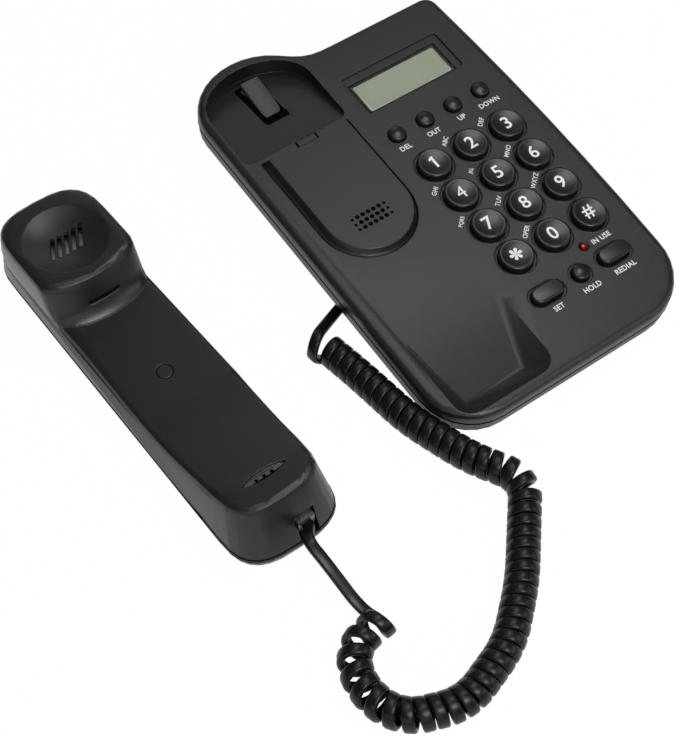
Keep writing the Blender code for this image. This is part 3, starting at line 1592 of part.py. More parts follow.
def cord():
    """The curly cord, and the plain lead at each end of it."""
    points = coil_points()
    print("curly cord: %d points, least gap to itself %.2f mm" % (len(points), least_gap(points) * 1000))
    tube("curly_cord", points, cord_width, None, cord_black, resolution=1)
    inside = handset_plug_mouth()
    grip = handset.matrix_world @ (inside - Vector((0.0, plug_grip_length, 0.0)))
    lead("cord_lead_handset", grip, handset.matrix_world @ inside, handset_lead_route, points[0], points[1])
    inside = base_plug_mouth()
    grip = base.matrix_world @ (inside - Vector((plug_grip_length, 0.0, 0.0)))
    lead("cord_lead_base", points[-1], points[-2], base_lead_route, grip, base.matrix_world @ inside)


black_plastic = ("black_plastic", (0.028, 0.028, 0.030), 0.5)
handset_plastic = ("handset_plastic", (0.026, 0.026, 0.028), 0.5)
key_plastic = ("key_plastic", (0.020, 0.020, 0.021), 0.42)
lever_grey = ("lever_grey", (0.085, 0.085, 0.088), 0.55)
clear_plastic = ("clear_plastic", (0.60, 0.62, 0.60), 0.1)
display_glass = ("display_glass", (0.36, 0.40, 0.34), 0.25)
board_green = ("board_green", (0.05, 0.20, 0.09), 0.5)
mat_grey = ("mat_grey", (0.45, 0.45, 0.44), 0.7)
rubber = ("rubber", (0.02, 0.02, 0.02), 0.8)
steel = ("steel", (0.55, 0.55, 0.56), 0.35, 1.0)
foam = ("foam", (0.10, 0.10, 0.10), 0.9)
jack_black = ("jack_black", (0.03, 0.03, 0.03), 0.4)
switch_black = ("switch_black", (0.04, 0.04, 0.04), 0.5)
plug_clear = ("plug_clear", (0.55, 0.55, 0.54), 0.15)
lamp_red = ("lamp_red", (0.45, 0.01, 0.01), 0.2)
cord_black = ("cord_black", (0.016, 0.016, 0.017), 0.45)

clear_scene()
parts = new_collection("corded_telephone")
cutters = new_collection("cutters")
base_y = -(rim_height - lower_rim_inset) * math.sin(deck_lean) / 2
base = new_frame("base_frame", (base_offset_x, base_y, 0.0))
deck = new_frame("deck_frame", (0.0, 0.0, deck_rise), lean_x=deck_lean, parent=base)
handset = new_frame("handset_frame", (handset_x, handset_y, 0.0), turn_z=math.radians(handset_yaw))
bpy.context.view_layer.update()

top_shell()
bottom_shell()
feet()
case_screws()
dial_keys()
round_buttons()
long_buttons()
in_use_lamp()
boards()
hook_lever()
hook_spring()
hook_switch()
wall_hook()
ringer_speaker()
base_jacks()
base_plug()
handset_shells()
handset_fittings()
bpy.context.view_layer.update()
cord()
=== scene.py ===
import bisect
import json
import math

import bmesh
import bpy
from mathutils import Matrix, Vector


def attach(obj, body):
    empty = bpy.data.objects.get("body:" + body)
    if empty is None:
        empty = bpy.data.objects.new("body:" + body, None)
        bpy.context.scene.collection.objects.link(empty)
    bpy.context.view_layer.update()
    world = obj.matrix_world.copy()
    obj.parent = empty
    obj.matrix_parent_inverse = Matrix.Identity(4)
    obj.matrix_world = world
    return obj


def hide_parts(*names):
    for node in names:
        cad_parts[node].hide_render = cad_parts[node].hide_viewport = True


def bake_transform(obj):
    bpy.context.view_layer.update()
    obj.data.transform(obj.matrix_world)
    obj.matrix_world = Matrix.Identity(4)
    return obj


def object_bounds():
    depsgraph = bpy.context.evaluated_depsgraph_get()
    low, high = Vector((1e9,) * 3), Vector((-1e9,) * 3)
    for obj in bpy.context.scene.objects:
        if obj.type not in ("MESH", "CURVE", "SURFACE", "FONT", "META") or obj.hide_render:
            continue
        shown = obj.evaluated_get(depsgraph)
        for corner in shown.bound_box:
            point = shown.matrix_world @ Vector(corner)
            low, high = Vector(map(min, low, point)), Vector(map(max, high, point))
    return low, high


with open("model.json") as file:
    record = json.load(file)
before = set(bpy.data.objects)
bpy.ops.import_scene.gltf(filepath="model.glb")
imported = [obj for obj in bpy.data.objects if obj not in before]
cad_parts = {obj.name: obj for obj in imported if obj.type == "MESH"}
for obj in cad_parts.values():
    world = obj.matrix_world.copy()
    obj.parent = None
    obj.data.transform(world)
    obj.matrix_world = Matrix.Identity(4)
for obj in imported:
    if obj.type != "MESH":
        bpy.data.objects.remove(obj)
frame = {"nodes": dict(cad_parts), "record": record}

nodes = frame["nodes"]
cad_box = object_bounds()

# Lengths are in metres and angles in radians, unless a name says otherwise.
# The base's two frames, and the handset's, as they stand in the model
deck_tilt = math.radians(6.45)
base_place = Vector((0.0491, -0.00062912, 0.0))
deck_rise = 0.0243017
handset_place = Vector((-0.0886, -0.0058, 0.0))
handset_yaw = math.radians(1.8)

base = Matrix.Translation(base_place)
deck = base @ Matrix.Translation((0.0, 0.0, deck_rise)) @ Matrix.Rotation(deck_tilt, 4, "X")
handset = Matrix.Translation(handset_place) @ Matrix.Rotation(handset_yaw, 4, "Z")


# What most pieces need: an object for some data, a mesh, and the faces of a bmesh

def placed(name, data):
    """A new object of the scene that holds the data."""
    thing = bpy.data.objects.new(name, data)
    bpy.context.scene.collection.objects.link(thing)
    return thing


def mesh_of(name, bm):
    """A mesh made from a bmesh, which is freed."""
    mesh = bpy.data.meshes.new(name)
    bm.to_mesh(mesh)
    bm.free()
    return mesh


def bridge(bm, rings):
    """A closed band of faces from each ring of vertices to the next."""
    for near, far in zip(rings, rings[1:]):
        for i in range(len(near)):
            bm.faces.new((near[i - 1], near[i], far[i], far[i - 1]))


def smooth_outward(bm):
    """Turns all faces outward and shades them smooth."""
    bmesh.ops.recalc_face_normals(bm, faces=bm.faces)
    for face in bm.faces:
        face.smooth = True


# Camera

camera_azimuth = math.radians(-35.75)
camera_elevation = math.radians(54.61)
camera_place = (-0.2539, -0.3553, 0.5487)
camera_lens_mm = 83.04
camera_sensor_mm = 36.0
camera_near = 0.01


def add_camera():
    """The photograph's camera: it looks down on the part from its front left."""
    level = math.cos(camera_elevation)
    forward = Vector((-math.sin(camera_azimuth) * level, math.cos(camera_azimuth) * level,
                      -math.sin(camera_elevation)))
    data = bpy.data.cameras.new("camera")
    data.lens = camera_lens_mm
    data.sensor_width = camera_sensor_mm
    data.clip_start = camera_near
    camera = placed("camera", data)
    camera.location = camera_place
    camera.rotation_euler = forward.to_track_quat("-Z", "Y").to_euler()
    bpy.context.scene.camera = camera


add_camera()
bpy.context.scene.view_settings.view_transform = "Standard"


# Cord: the route that its solids follow, wound finer and with its flat section

coil_radius = 0.0052
coil_height = 0.0070
coil_pitch = 0.00475
coil_loose_pitch = 0.0076
coil_loose_length = 0.065
coil_kink_pitch = 0.0068
coil_kink_at = 0.164
coil_kink_width = 0.012
coil_bend_reach = 0.0089
coil_step = 0.0005
coil_turn_points = 26
coil_start_turn = 0.25
coil_end_turn = 0.125
lead_bend_reach = 0.0045
lead_step = 0.0008
handset_lead_turns = 8
lead_straight = 0.0015
handset_plug_end = Vector((-0.0811942, -0.0950114, 0.0122))
base_plug_end = Vector((-0.00315, -0.017629, 0.0064))
cord_width = 0.0046
cord_thickness = 0.0024
cord_corner = 0.0009
sharp_turn = math.radians(0.5)

handset_lead_route = (
    (-0.0867, -0.1030, 0.0175),
    (-0.0854, -0.1130, 0.0135),
    (-0.0830, -0.1270, 0.0040),
    (-0.0816, -0.1330, 0.0018),
)
coil_route = (
    (-0.0798, -0.1403),
    (-0.0960, -0.1424),
    (-0.1025, -0.1580),
    (-0.0975, -0.1745),
    (-0.0760, -0.1828),
    (-0.0500, -0.1740),
    (-0.0305, -0.1573),
    (-0.0021, -0.1246),
    (-0.0135, -0.1045),
    (-0.0215, -0.0780),
    (-0.0245, -0.0500),
    (-0.0272, -0.0325),
)
base_lead_route = (
    (-0.0353, -0.0329, 0.0077),
    (-0.0339, -0.0322, 0.0135),
    (-0.0295, -0.0292, 0.0149),
    (-0.0175, -0.0210, 0.0070),
    (-0.0095, -0.0177, 0.0064),
)


def rounded_route(corners, reach, step):
    """Even steps along the route through the corners, each corner rounded by an arc."""
    spots = [Vector(p) for p in corners]
    line = [spots[0]]
    for before, here, after in zip(spots, spots[1:], spots[2:]):
        room_before = (here - before).length * (1.0 if before is spots[0] else 0.5)
        room_after = (after - here).length * (1.0 if after is spots[-1] else 0.5)
        trim = min(reach, room_before, room_after)
        start = here + (before - here).normalized() * trim
        end = here + (after - here).normalized() * trim
        turn = (here - start).angle(end - here)
        if turn < sharp_turn:
            line.append(here)
            continue
        radius = trim / math.tan(turn / 2)
        centre = here + ((start + end) / 2 - here).normalized() * (radius / math.cos(turn / 2))
        pieces = max(2, math.ceil(turn * radius / step))
        for i in range(pieces + 1):
            near = math.sin(turn * (1 - i / pieces)) / math.sin(turn)
            far = math.sin(turn * i / pieces) / math.sin(turn)
            line.append(centre + (start - centre) * near + (end - centre) * far)
    line.append(spots[-1])
    return even_steps(line, step)


def even_steps(line, step):
    """Points along a line, as near to the step apart as divides it evenly."""
    whole = sum((b - a).length for a, b in zip(line, line[1:]))
    count = max(1, round(whole / step))
    points = [line[0]]
    travelled = 0.0
    for near, far in zip(line, line[1:]):
        gap = (far - near).length
        while len(points) < count and travelled + gap >= whole * len(points) / count:
            share = (whole * len(points) / count - travelled) / gap
            points.append(near.lerp(far, share))
        travelled += gap
    points.append(line[-1])
    return points


def turn_pitch(along):
    """Spacing of the coil's turns at a distance along its axis: wider at its start and at the kink."""
    loose = max(0.0, 1 - along / coil_loose_length)
    kink = math.exp(-((along - coil_kink_at) / coil_kink_width) ** 2)
    return coil_pitch + (coil_loose_pitch - coil_pitch) * loose + (coil_kink_pitch - coil_pitch) * kink


def helix():
    """The coil's centreline points, and for each the direction of the coil's axis there."""
    axis = rounded_route([(x, y, coil_height) for x, y in coil_route], coil_bend_reach, coil_step)
    turns = [0.0]
    for i in range(len(axis) - 1):
        turns.append(turns[-1] + (axis[i + 1] - axis[i]).length / turn_pitch(coil_step * i))
    whole = math.floor(turns[-1]) + coil_end_turn
    turns = [turn * whole / turns[-1] for turn in turns]
    count = math.ceil(whole * coil_turn_points)
    points = []
    for k in range(count + 1):
        wanted = whole * k / count
        index = min(bisect.bisect_right(turns, wanted), len(turns) - 1) - 1
        share = (wanted - turns[index]) / (turns[index + 1] - turns[index])
        ahead = (axis[index + 1] - axis[index]).normalized()
        up = Vector((0.0, 0.0, 1.0))
        side = ahead.cross(up).normalized()
        phase = -2 * math.pi * (wanted + coil_start_turn)
        centre = axis[index].lerp(axis[index + 1], share)
        points.append((centre + coil_radius * (math.cos(phase) * side + math.sin(phase) * up), ahead))
    return points


def cross_section():
    """The flat cord's section, with round corners: across the cord, and through it."""
    reach = cord_width / 2 - cord_corner
    rise = cord_thickness / 2 - cord_corner
    section = []
    corners = ((reach, rise, 0), (-reach, rise, 90), (-reach, -rise, 180), (reach, -rise, 270))
    for across, through, start in corners:
        for step in range(3):
            turn = math.radians(start + 45 * step)
            section.append((across + cord_corner * math.cos(turn), through + cord_corner * math.sin(turn)))
    return section


def ribbon(name, path):
    """A mesh of the flat cord along (point, direction across) pairs."""
    section = cross_section()
    bm = bmesh.new()
    rings = []
    for i, (point, across) in enumerate(path):
        before = path[max(0, i - 1)][0]
        after = path[min(len(path) - 1, i + 1)][0]
        along = (after - before).normalized()
        wide = (across - along * across.dot(along)).normalized()
        thick = along.cross(wide)
        rings.append([bm.verts.new(point + wide * a + thick * b) for a, b in section])
    bridge(bm, rings)
    bm.faces.new(reversed(rings[0]))
    bm.faces.new(rings[-1])
    smooth_outward(bm)
    return placed(name, mesh_of(name, bm))


def lead_path(spots, first_across, last_across):
    """A lead's points in even steps, with the direction across it turning from one end's to the other's."""
    points = rounded_route(spots, lead_bend_reach, lead_step)
    path = []
    for i, point in enumerate(points):
        share = i / (len(points) - 1)
        path.append((point, first_across.lerp(last_across, share)))
    return path


def make_cords():
    """The cord in two lengths: one at the handset's end, which stays where it lies, and one that stays with
    the base.
    """
    coil = helix()
    start_out = (coil[0][0] - coil[1][0]).normalized()
    end_out = (coil[-1][0] - coil[-2][0]).normalized()
    handset_out = handset.to_3x3() @ Vector((0.0, -1.0, 0.0))
    base_out = Vector((-1.0, 0.0, 0.0))
    spots = [handset_plug_end, handset_plug_end + handset_out * lead_straight, *handset_lead_route]
    spots += [coil[0][0] + start_out * 2 * lead_straight, coil[0][0]]
    lead = lead_path(spots, Vector((-1.0, 0.0, 0.0)), coil[0][1])
    split = handset_lead_turns * coil_turn_points
    near = lead[:-1] + coil[:split + 1]
    spots = [coil[-1][0], coil[-1][0] + end_out * 2 * lead_straight, *base_lead_route]
    spots += [base_plug_end + base_out * lead_straight, base_plug_end]
    lead = lead_path(spots, coil[-1][1], Vector((0.0, 1.0, 0.0)))
    far = coil[split:] + lead[1:]
    pieces = []
    lengths = (("cord_at_handset", near, handset_plug_end), ("cord_at_base", far, base_plug_end))
    for name, path, end in lengths:
        piece = ribbon(name, path)
        points = [point for point, across in path]
        if end is base_plug_end:
            points.reverse()
        pieces.append(piece)
    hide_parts("cord_lead_handset")
    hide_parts("curly_cord", "cord_lead_base")
    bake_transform(pieces[0])
    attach(pieces[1], "base")
    return pieces


cord_pieces = make_cords()


# Studio: plain pale floor, white all round, soft light

def add_node(tree, kind, values=None, links=None, **settings):
    """A node with its settings, the values of its sockets, and what comes into them."""
    node = tree.nodes.new(kind)
    for name, value in settings.items():
        setattr(node, name, value)
    for name, value in (values or {}).items():
        node.inputs[name].default_value = value
    for name, source in (links or {}).items():
        tree.links.new(source, node.inputs[name])
    return node


def linear(hex_colour, alpha=1.0):
    """The linear colour of an sRGB hex value."""
    parts = [int(hex_colour[i:i + 2], 16) / 255 for i in (1, 3, 5)]
    return tuple(c / 12.92 if c <= 0.04045 else ((c + 0.055) / 1.055) ** 2.4 for c in parts) + (alpha,)


def new_tree(name):
    """A material with an empty node tree, and that tree."""
    material = bpy.data.materials.new(name)
    material.use_nodes = True
    material.node_tree.nodes.clear()
    return material, material.node_tree


def seen_rays(tree, mirrored_share):
    """1 for rays that the eye sees straight or through glass, and a share for those that it sees mirrored."""
    path = add_node(tree, "ShaderNodeLightPath")
    straight = add_node(tree, "ShaderNodeMath", None,
                        {0: path.outputs["Is Camera Ray"], 1: path.outputs["Is Transmission Ray"]},
                        operation="MAXIMUM")
    mirrored = add_node(tree, "ShaderNodeMath", {1: mirrored_share}, {0: path.outputs["Is Glossy Ray"]},
                        operation="MULTIPLY")
    both = add_node(tree, "ShaderNodeMath", None, {0: straight.outputs[0], 1: mirrored.outputs[0]},
                    operation="MAXIMUM")
    return both.outputs[0]


def paper_floor():
    """White seamless paper, lit until it all but clips, with the faintest shadow left on it."""
    material, tree = new_tree("white seamless paper")
    paper = add_node(tree, "ShaderNodeBsdfDiffuse", {"Color": linear("#7A7A7A")})
    glow = add_node(tree, "ShaderNodeEmission", {"Color": linear("#FFFFFF"), "Strength": floor_glow})
    share = add_node(tree, "ShaderNodeMath", {1: floor_glow_share},
                     {0: seen_rays(tree, floor_mirrored_share)}, operation="MULTIPLY")
    mixed = add_node(tree, "ShaderNodeMixShader", None,
                     {0: share.outputs[0], 1: paper.outputs[0], 2: glow.outputs[0]})
    add_node(tree, "ShaderNodeOutputMaterial", None, {"Surface": mixed.outputs[0]})
    bm = bmesh.new()
    bmesh.ops.create_grid(bm, x_segments=4, y_segments=4, size=floor_reach)
    mesh = mesh_of("floor", bm)
    mesh.materials.append(material)
    floor = placed("floor", mesh)


def white_room():
    """A little even light from all round, in a room that the eye sees as plain white."""
    world = bpy.data.worlds.new("white room")
    bpy.context.scene.world = world
    world.use_nodes = True
    tree = world.node_tree
    tree.nodes.clear()
    seen = add_node(tree, "ShaderNodeBackground", {"Color": linear("#FFFFFF"), "Strength": 1.0})
    soft = add_node(tree, "ShaderNodeBackground", {"Color": linear("#FFFFFF"), "Strength": room_light})
    mixed = add_node(tree, "ShaderNodeMixShader", None,
                     {0: seen_rays(tree, room_mirrored_share), 1: soft.outputs[0], 2: seen.outputs[0]})
    add_node(tree, "ShaderNodeOutputWorld", None, {"Surface": mixed.outputs[0]})


def soft_box(name, place, target, size, brightness):
    """A rectangular lamp turned to its target; the brightness doesn't change with its size."""
    data = bpy.data.lights.new(name, "AREA")
    data.shape = "RECTANGLE"
    data.size, data.size_y = size
    data.energy = brightness * math.pi * size[0] * size[1]
    lamp = placed(name, data)
    lamp.location = place
    lamp.rotation_euler = (Vector(target) - Vector(place)).to_track_quat("-Z", "Y").to_euler()


floor_reach = 3.0
floor_glow = 1.04
floor_glow_share = 0.95
floor_mirrored_share = 0.95
room_mirrored_share = 0.08
room_light = 0.08
paper_floor()
white_room()
soft_box("front_box", (0.0, -0.72, 0.98), (0.0, 0.0, 0.0), (0.60, 0.40), 9.5)
soft_box("overhead_box", (0.0, 0.0, 1.20), (0.0, 0.0, 0.0), (0.50, 0.50), 1.4)
soft_box("back_box", (0.38, 0.18, 1.00), (0.0, 0.0, 0.0), (0.30, 0.36), 5.2)
soft_box("right_box", (0.45, 0.85, 0.66), (0.0, 0.0, 0.0), (0.60, 0.40), 0.7)
soft_box("front_left_strip", (-0.75, -0.85, 0.45), (0.0, 0.0, 0.0), (1.60, 0.30), 1.4)
soft_box("front_right_strip", (0.80, -0.80, 0.50), (0.0, 0.0, 0.0), (0.70, 0.40), 1.8)


# Materials, each named for what the real one is, or for the painted shade it also stands for

def surface_of(name, hex_colour, roughness, grain_mm=None, grain_depth_mm=0.0, mottle=0.0, edge_mm=0.0,
               **sockets):
    """A Principled surface with an optional fine grain: spacing, depth, and how much it mottles the colour.

    edge_mm is the radius that the mould leaves on the piece's edges and inner corners."""
    material, tree = new_tree(name)
    skin = add_node(tree, "ShaderNodeBsdfPrincipled",
                    {"Roughness": roughness, "Base Color": linear(hex_colour)})
    for socket, value in sockets.items():
        skin.inputs[socket.replace("_", " ")].default_value = value
    if grain_mm:
        place = add_node(tree, "ShaderNodeTexCoord")
        grain = add_node(tree, "ShaderNodeTexNoise",
                         {"Scale": 1000 / grain_mm, "Detail": 2.0, "Roughness": 0.6},
                         {"Vector": place.outputs["Object"]})
        bump = add_node(tree, "ShaderNodeBump", {"Strength": 1.0, "Distance": grain_depth_mm / 1000},
                        {"Height": grain.outputs["Fac"]})
        tree.links.new(bump.outputs["Normal"], skin.inputs["Normal"])
        if edge_mm:
            edge = add_node(tree, "ShaderNodeBevel", {"Radius": edge_mm / 1000}, samples=6)
            tree.links.new(edge.outputs["Normal"], bump.inputs["Normal"])
        if mottle:
            colour = linear(hex_colour)
            low = tuple(c * (1 - mottle) for c in colour[:3]) + (1.0,)
            high = tuple(c * (1 + mottle) for c in colour[:3]) + (1.0,)
            tint = add_node(tree, "ShaderNodeMix", {6: low, 7: high}, {0: grain.outputs["Fac"]},
                            data_type="RGBA")
            tree.links.new(tint.outputs[2], skin.inputs["Base Color"])
    add_node(tree, "ShaderNodeOutputMaterial", None, {"Surface": skin.outputs["BSDF"]})
    return material


# ABS moulded against spark-eroded steel: a dry, even black whose fine grain spreads every highlight
case_abs = surface_of("spark-grained black ABS", "#161617", 0.40, 0.55, 0.05, 0.25, 0.5, IOR=1.53)
# The same plastic from a finer mould: the handset's grain is smaller and its edges shine a little more
handset_abs = surface_of("fine-grained black ABS", "#131314", 0.34, 0.45, 0.02, 0.2, 0.8, IOR=1.53)
# ABS moulded against honed steel: keys with a satin face that mirrors the light as a soft patch
key_abs = surface_of("satin black ABS", "#111112", 0.28, 0.30, 0.008, 0.1, IOR=1.5)
# Grey ABS of the hook lever, grained as the case is: a step paler than all round it
lever_abs = surface_of("grained grey ABS", "#38383A", 0.5, 0.5, 0.04, 0.2, IOR=1.53)
# Clear acrylic with a coating that kills its shine: the display shows through, evenly lit
window_acrylic = surface_of("coated clear acrylic", "#F4F6F2", 0.06, IOR=1.49, Transmission_Weight=1.0,
                            Specular_IOR_Level=0.1)
# Liquid crystal cell behind its polariser: a flat grey-green with a faint cloudiness
crystal_cell = surface_of("liquid crystal cell", "#949A88", 0.35, 6.0, 0.0, 0.05, IOR=1.5)
# Red acrylic lamp lens: deep red that looks wet where it catches the light
lamp_acrylic = surface_of("clear red acrylic", "#7C0F14", 0.12, IOR=1.49, Transmission_Weight=0.35)
# Clear polycarbonate plug over dark wires: smoky, with hard small highlights
plug_polycarbonate = surface_of("smoky clear polycarbonate", "#50524F", 0.16, IOR=1.58,
                                Transmission_Weight=0.3)
# Vinyl jacket, extruded and heat-set: smooth, faintly oily, black
cord_vinyl = surface_of("extruded black vinyl", "#0B0B0C", 0.33, 1.5, 0.006, 0.08, IOR=1.45,
                        Specular_IOR_Level=0.38)
# Moulded rubber: dead matt, a shade greyer than the plastic
foot_rubber = surface_of("moulded black rubber", "#1E1E1E", 0.8, 0.3, 0.02, 0.2, IOR=1.52)
# Silicone key mat: soft milky grey with a dull sheen
mat_silicone = surface_of("grey silicone rubber", "#B4B4B0", 0.6, 0.5, 0.01, 0.05, IOR=1.41)
# Zinc-plated steel: bright, with fine grinding lines that blur it
plated_steel = surface_of("zinc-plated steel", "#B9BABD", 0.32, 0.2, 0.006, 0.08, Metallic=1.0)
# Open-cell foam: black and full of pores
gasket_foam = surface_of("open-cell foam", "#2B2B2B", 0.95, 0.6, 0.3, 0.4, IOR=1.45)
# Glass-fibre board under green lacquer: glossy green over a faint cloth weave
board_lacquer = surface_of("lacquered glass-fibre board", "#1F6B3C", 0.3, 0.8, 0.006, 0.15, IOR=1.5)
# Glass-filled nylon of switches and sockets: black, slightly rough from its fibres. The hook lever's arms get
# it too, as painted shade darker than the lever's grey
nylon_and_arm_shade = surface_of("glass-filled black nylon", "#202022", 0.5, 0.25, 0.01, 0.15, IOR=1.53)

finish_of_slot = {
    "black_plastic": case_abs,
    "handset_plastic": handset_abs,
    "key_plastic": key_abs,
    "lever_grey": lever_abs,
    "clear_plastic": window_acrylic,
    "display_glass": crystal_cell,
    "lamp_red": lamp_acrylic,
    "plug_clear": plug_polycarbonate,
    "cord_black": cord_vinyl,
    "rubber": foot_rubber,
    "mat_grey": mat_silicone,
    "steel": plated_steel,
    "foam": gasket_foam,
    "board_green": board_lacquer,
    "jack_black": nylon_and_arm_shade,
    "switch_black": nylon_and_arm_shade,
}
smooth_angle = math.radians(32)
weld_reach = 0.000002
flat_face_weight = 90


def finish_cad_nodes():
    """Gives each carried-over solid its material, and smooth shading between its sharp edges."""
    for part in frame["record"]["subparts"]:
        node = nodes[part["node"]]
        mesh = node.data
        mesh.materials.clear()
        mesh.materials.append(finish_of_slot[part["material_slot"]])
        for polygon in mesh.polygons:
            polygon.material_index = 0
            polygon.use_smooth = True
        if "custom_normal" in mesh.attributes:
            mesh.attributes.remove(mesh.attributes["custom_normal"])
        weld = node.modifiers.new("weld", "WELD")
        weld.merge_threshold = weld_reach
        split = node.modifiers.new("sharp edges", "EDGE_SPLIT")
        split.split_angle = smooth_angle
        flat = node.modifiers.new("flat faces stay flat", "WEIGHTED_NORMAL")
        flat.mode = "FACE_AREA"
        flat.weight = flat_face_weight


finish_cad_nodes()
for piece in cord_pieces:
    piece.data.materials.append(cord_vinyl)


# Keys and buttons, turned finer than their solids

key_sides = 64
button_sides = 48
edge_steps = 5


def turned_piece(name, body, profile, u, v, material, sides=key_sides):
    """A piece turned about the deck's upright at (u, v).

    The profile is (radius, height) pairs from the top down."""
    bm = bmesh.new()
    rings = []
    for radius, height in profile:
        if radius == 0.0:
            rings.append([bm.verts.new((0.0, 0.0, height))])
            continue
        ring = []
        for i in range(sides):
            turn = 2 * math.pi * i / sides
            ring.append(bm.verts.new((radius * math.cos(turn), radius * math.sin(turn), height)))
        rings.append(ring)
    for upper, lower in zip(rings, rings[1:]):
        for i in range(sides):
            above = upper if len(upper) == 1 else [upper[i - 1], upper[i]]
            below = lower if len(lower) == 1 else [lower[i], lower[i - 1]]
            bm.faces.new(above + below)
    smooth_outward(bm)
    return add_piece(name, body, bm, deck @ Matrix.Translation((u, v, 0.0)), material)


def add_piece(name, body, bm, place, material):
    """A piece of one material made from a bmesh, put in its place and on its body."""
    mesh = mesh_of(name, bm)
    mesh.transform(place)
    mesh.materials.append(material)
    piece = placed(name, mesh)
    split = piece.modifiers.new("sharp edges", "EDGE_SPLIT")
    split.split_angle = smooth_angle
    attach(piece, body)
    return piece


def rounded_profile(radius, height, edge):
    """The round between a top face and a side: (radius, height) pairs."""
    turns = [math.pi / 2 * i / edge_steps for i in range(edge_steps + 1)]
    return [(radius - edge + edge * math.sin(turn), height - edge + edge * math.cos(turn)) for turn in turns]


def dished_profile(radius, height, dish, edge, foot):
    """A key's profile: a spherical dish, a rounded rim and an upright side down to its foot."""
    reach = radius - edge
    ball = (reach ** 2 + dish ** 2) / (2 * dish)
    profile = []
    for i in range(dish_rings):
        r = reach * i / dish_rings
        profile.append((r, height - dish + ball - math.sqrt(ball ** 2 - r ** 2)))
    return profile + rounded_profile(radius, height, edge) + [(radius, foot), (0.0, foot)]


# Dial keys
keypad_u = 0.0252
keypad_v = -0.0194
key_pitch_u = 0.01905
key_pitch_v = 0.0181
key_radius = 0.0074
key_height = 0.0026
key_dish = 0.0006
dish_rings = 10
key_edge = 0.0009
key_foot = -0.0044
key_rows = (("1", "2", "3"), ("4", "5", "6"), ("7", "8", "9"), ("star", "0", "hash"))

# Four round buttons over the dial; the row under it has a round one between two long ones
small_u = 0.0245
small_v = 0.0288
small_pitch = 0.0147
small_radius = 0.0038
small_height = 0.0024
small_dome = 0.0004
dome_rings = 5
small_edge = 0.0011
small_names = ("delete", "out", "up", "down")
lower_u = 0.0232
lower_v = -0.0668
lower_pitch = 0.0173
long_length = 0.0150
long_width = 0.0076
long_height = 0.0024
long_edge = 0.0009


def key_place(row, column):
    """Where a dial key stands on the deck."""
    return keypad_u + (column - 1) * key_pitch_u, keypad_v + (1.5 - row) * key_pitch_v


def dial_keys():
    """The twelve dished keys."""
    profile = dished_profile(key_radius, key_height, key_dish, key_edge, key_foot)
    for row, names in enumerate(key_rows):
        for column, name in enumerate(names):
            u, v = key_place(row, column)
            piece = turned_piece("key_cap_" + name, "key_%s_body" % name, profile, u, v, key_abs)
            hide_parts("key_" + name)


def button_profile():
    """A small button: a shallow dome, a round edge and an upright side."""
    reach = small_radius - small_edge
    ball = (reach ** 2 + small_dome ** 2) / (2 * small_dome)
    profile = []
    for i in range(dome_rings):
        r = reach * i / dome_rings
        profile.append((r, small_height - ball + math.sqrt(ball ** 2 - r ** 2)))
    return profile + rounded_profile(small_radius, small_height - small_dome, small_edge) + [
        (small_radius, key_foot), (0.0, key_foot)]


def round_buttons():
    """The four round buttons over the dial, and the one under it."""
    places = [(name, small_u + (i - 1.5) * small_pitch, small_v) for i, name in enumerate(small_names)]
    places.append(("hold", lower_u, lower_v))
    for name, u, v in places:
        piece = turned_piece("button_cap_" + name, "button_%s_body" % name, button_profile(), u, v, key_abs,
                             button_sides)
        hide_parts("button_" + name)


def long_buttons():
    """The two long buttons: half-round ends, a flat top and a rounded rim."""
    straight = (long_length - long_width) / 2
    rings = [(0.0, long_height)] + rounded_profile(long_width / 2, long_height, long_edge)
    rings += [(long_width / 2, key_foot)]
    for side, name in ((-1, "set"), (1, "redial")):
        bm = bmesh.new()
        loops = []
        for radius, height in rings[1:]:
            loop = []
            for i in range(button_sides):
                turn = 2 * math.pi * (i + 0.5) / button_sides
                shift = math.copysign(straight, math.cos(turn))
                loop.append(bm.verts.new((shift + radius * math.cos(turn), radius * math.sin(turn), height)))
            loops.append(loop)
        bridge(bm, loops)
        bm.faces.new(reversed(loops[0]))
        bm.faces.new(loops[-1])
        smooth_outward(bm)
        place = deck @ Matrix.Translation((lower_u + side * lower_pitch, lower_v, 0.0))
        piece = add_piece("button_cap_" + name, "button_%s_body" % name, bm, place, key_abs)
        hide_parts("button_" + name)


dial_keys()
round_buttons()
long_buttons()


# Display: a clear cover over a black printed border and the cell's film, with a painted highlight along the
# opening's left and bottom

display_u = 0.0231
display_v = 0.0525
cover_width = 0.0446
cover_height = 0.0166
cover_corner = 0.0012
cover_bottom = -0.00165
cover_top = -0.00095
opening_width = 0.0424
opening_height = 0.0146
opening_corner = 0.0010
border_thickness = 0.00004
film_thickness = 0.00006
film_edge = 0.00032


def rounded_loop(width, height, corner, steps=6):
    """Corners of a rounded rectangle about the origin, anticlockwise from its right side."""
    points = []
    for quarter, (side, end) in enumerate(((1, 1), (-1, 1), (-1, -1), (1, -1))):
        for i in range(steps + 1):
            turn = math.pi / 2 * (quarter + i / steps)
            points.append((side * (width / 2 - corner) + corner * math.cos(turn),
                           end * (height / 2 - corner) + corner * math.sin(turn)))
    return points


def sheet_piece(name, outer, inner, low, high, material):
    """A flat sheet on the deck between two heights, whole or with a hole in its middle."""
    bm = bmesh.new()
    rings = [[bm.verts.new((x, y, z)) for x, y in loop]
             for loop in (outer, inner or outer) for z in (low, high)]
    if inner:
        walls = ((rings[0], rings[1]), (rings[1], rings[3]), (rings[3], rings[2]), (rings[2], rings[0]))
    else:
        bmesh.ops.delete(bm, geom=rings[2] + rings[3], context="VERTS")
        walls = ((rings[0], rings[1]),)
        bm.faces.new(list(reversed(rings[0])))
        bm.faces.new(rings[1])
    for wall in walls:
        bridge(bm, wall)
    bmesh.ops.recalc_face_normals(bm, faces=bm.faces)
    piece = add_piece(name, "base", bm, deck @ Matrix.Translation((display_u, display_v, 0.0)), material)
    return piece


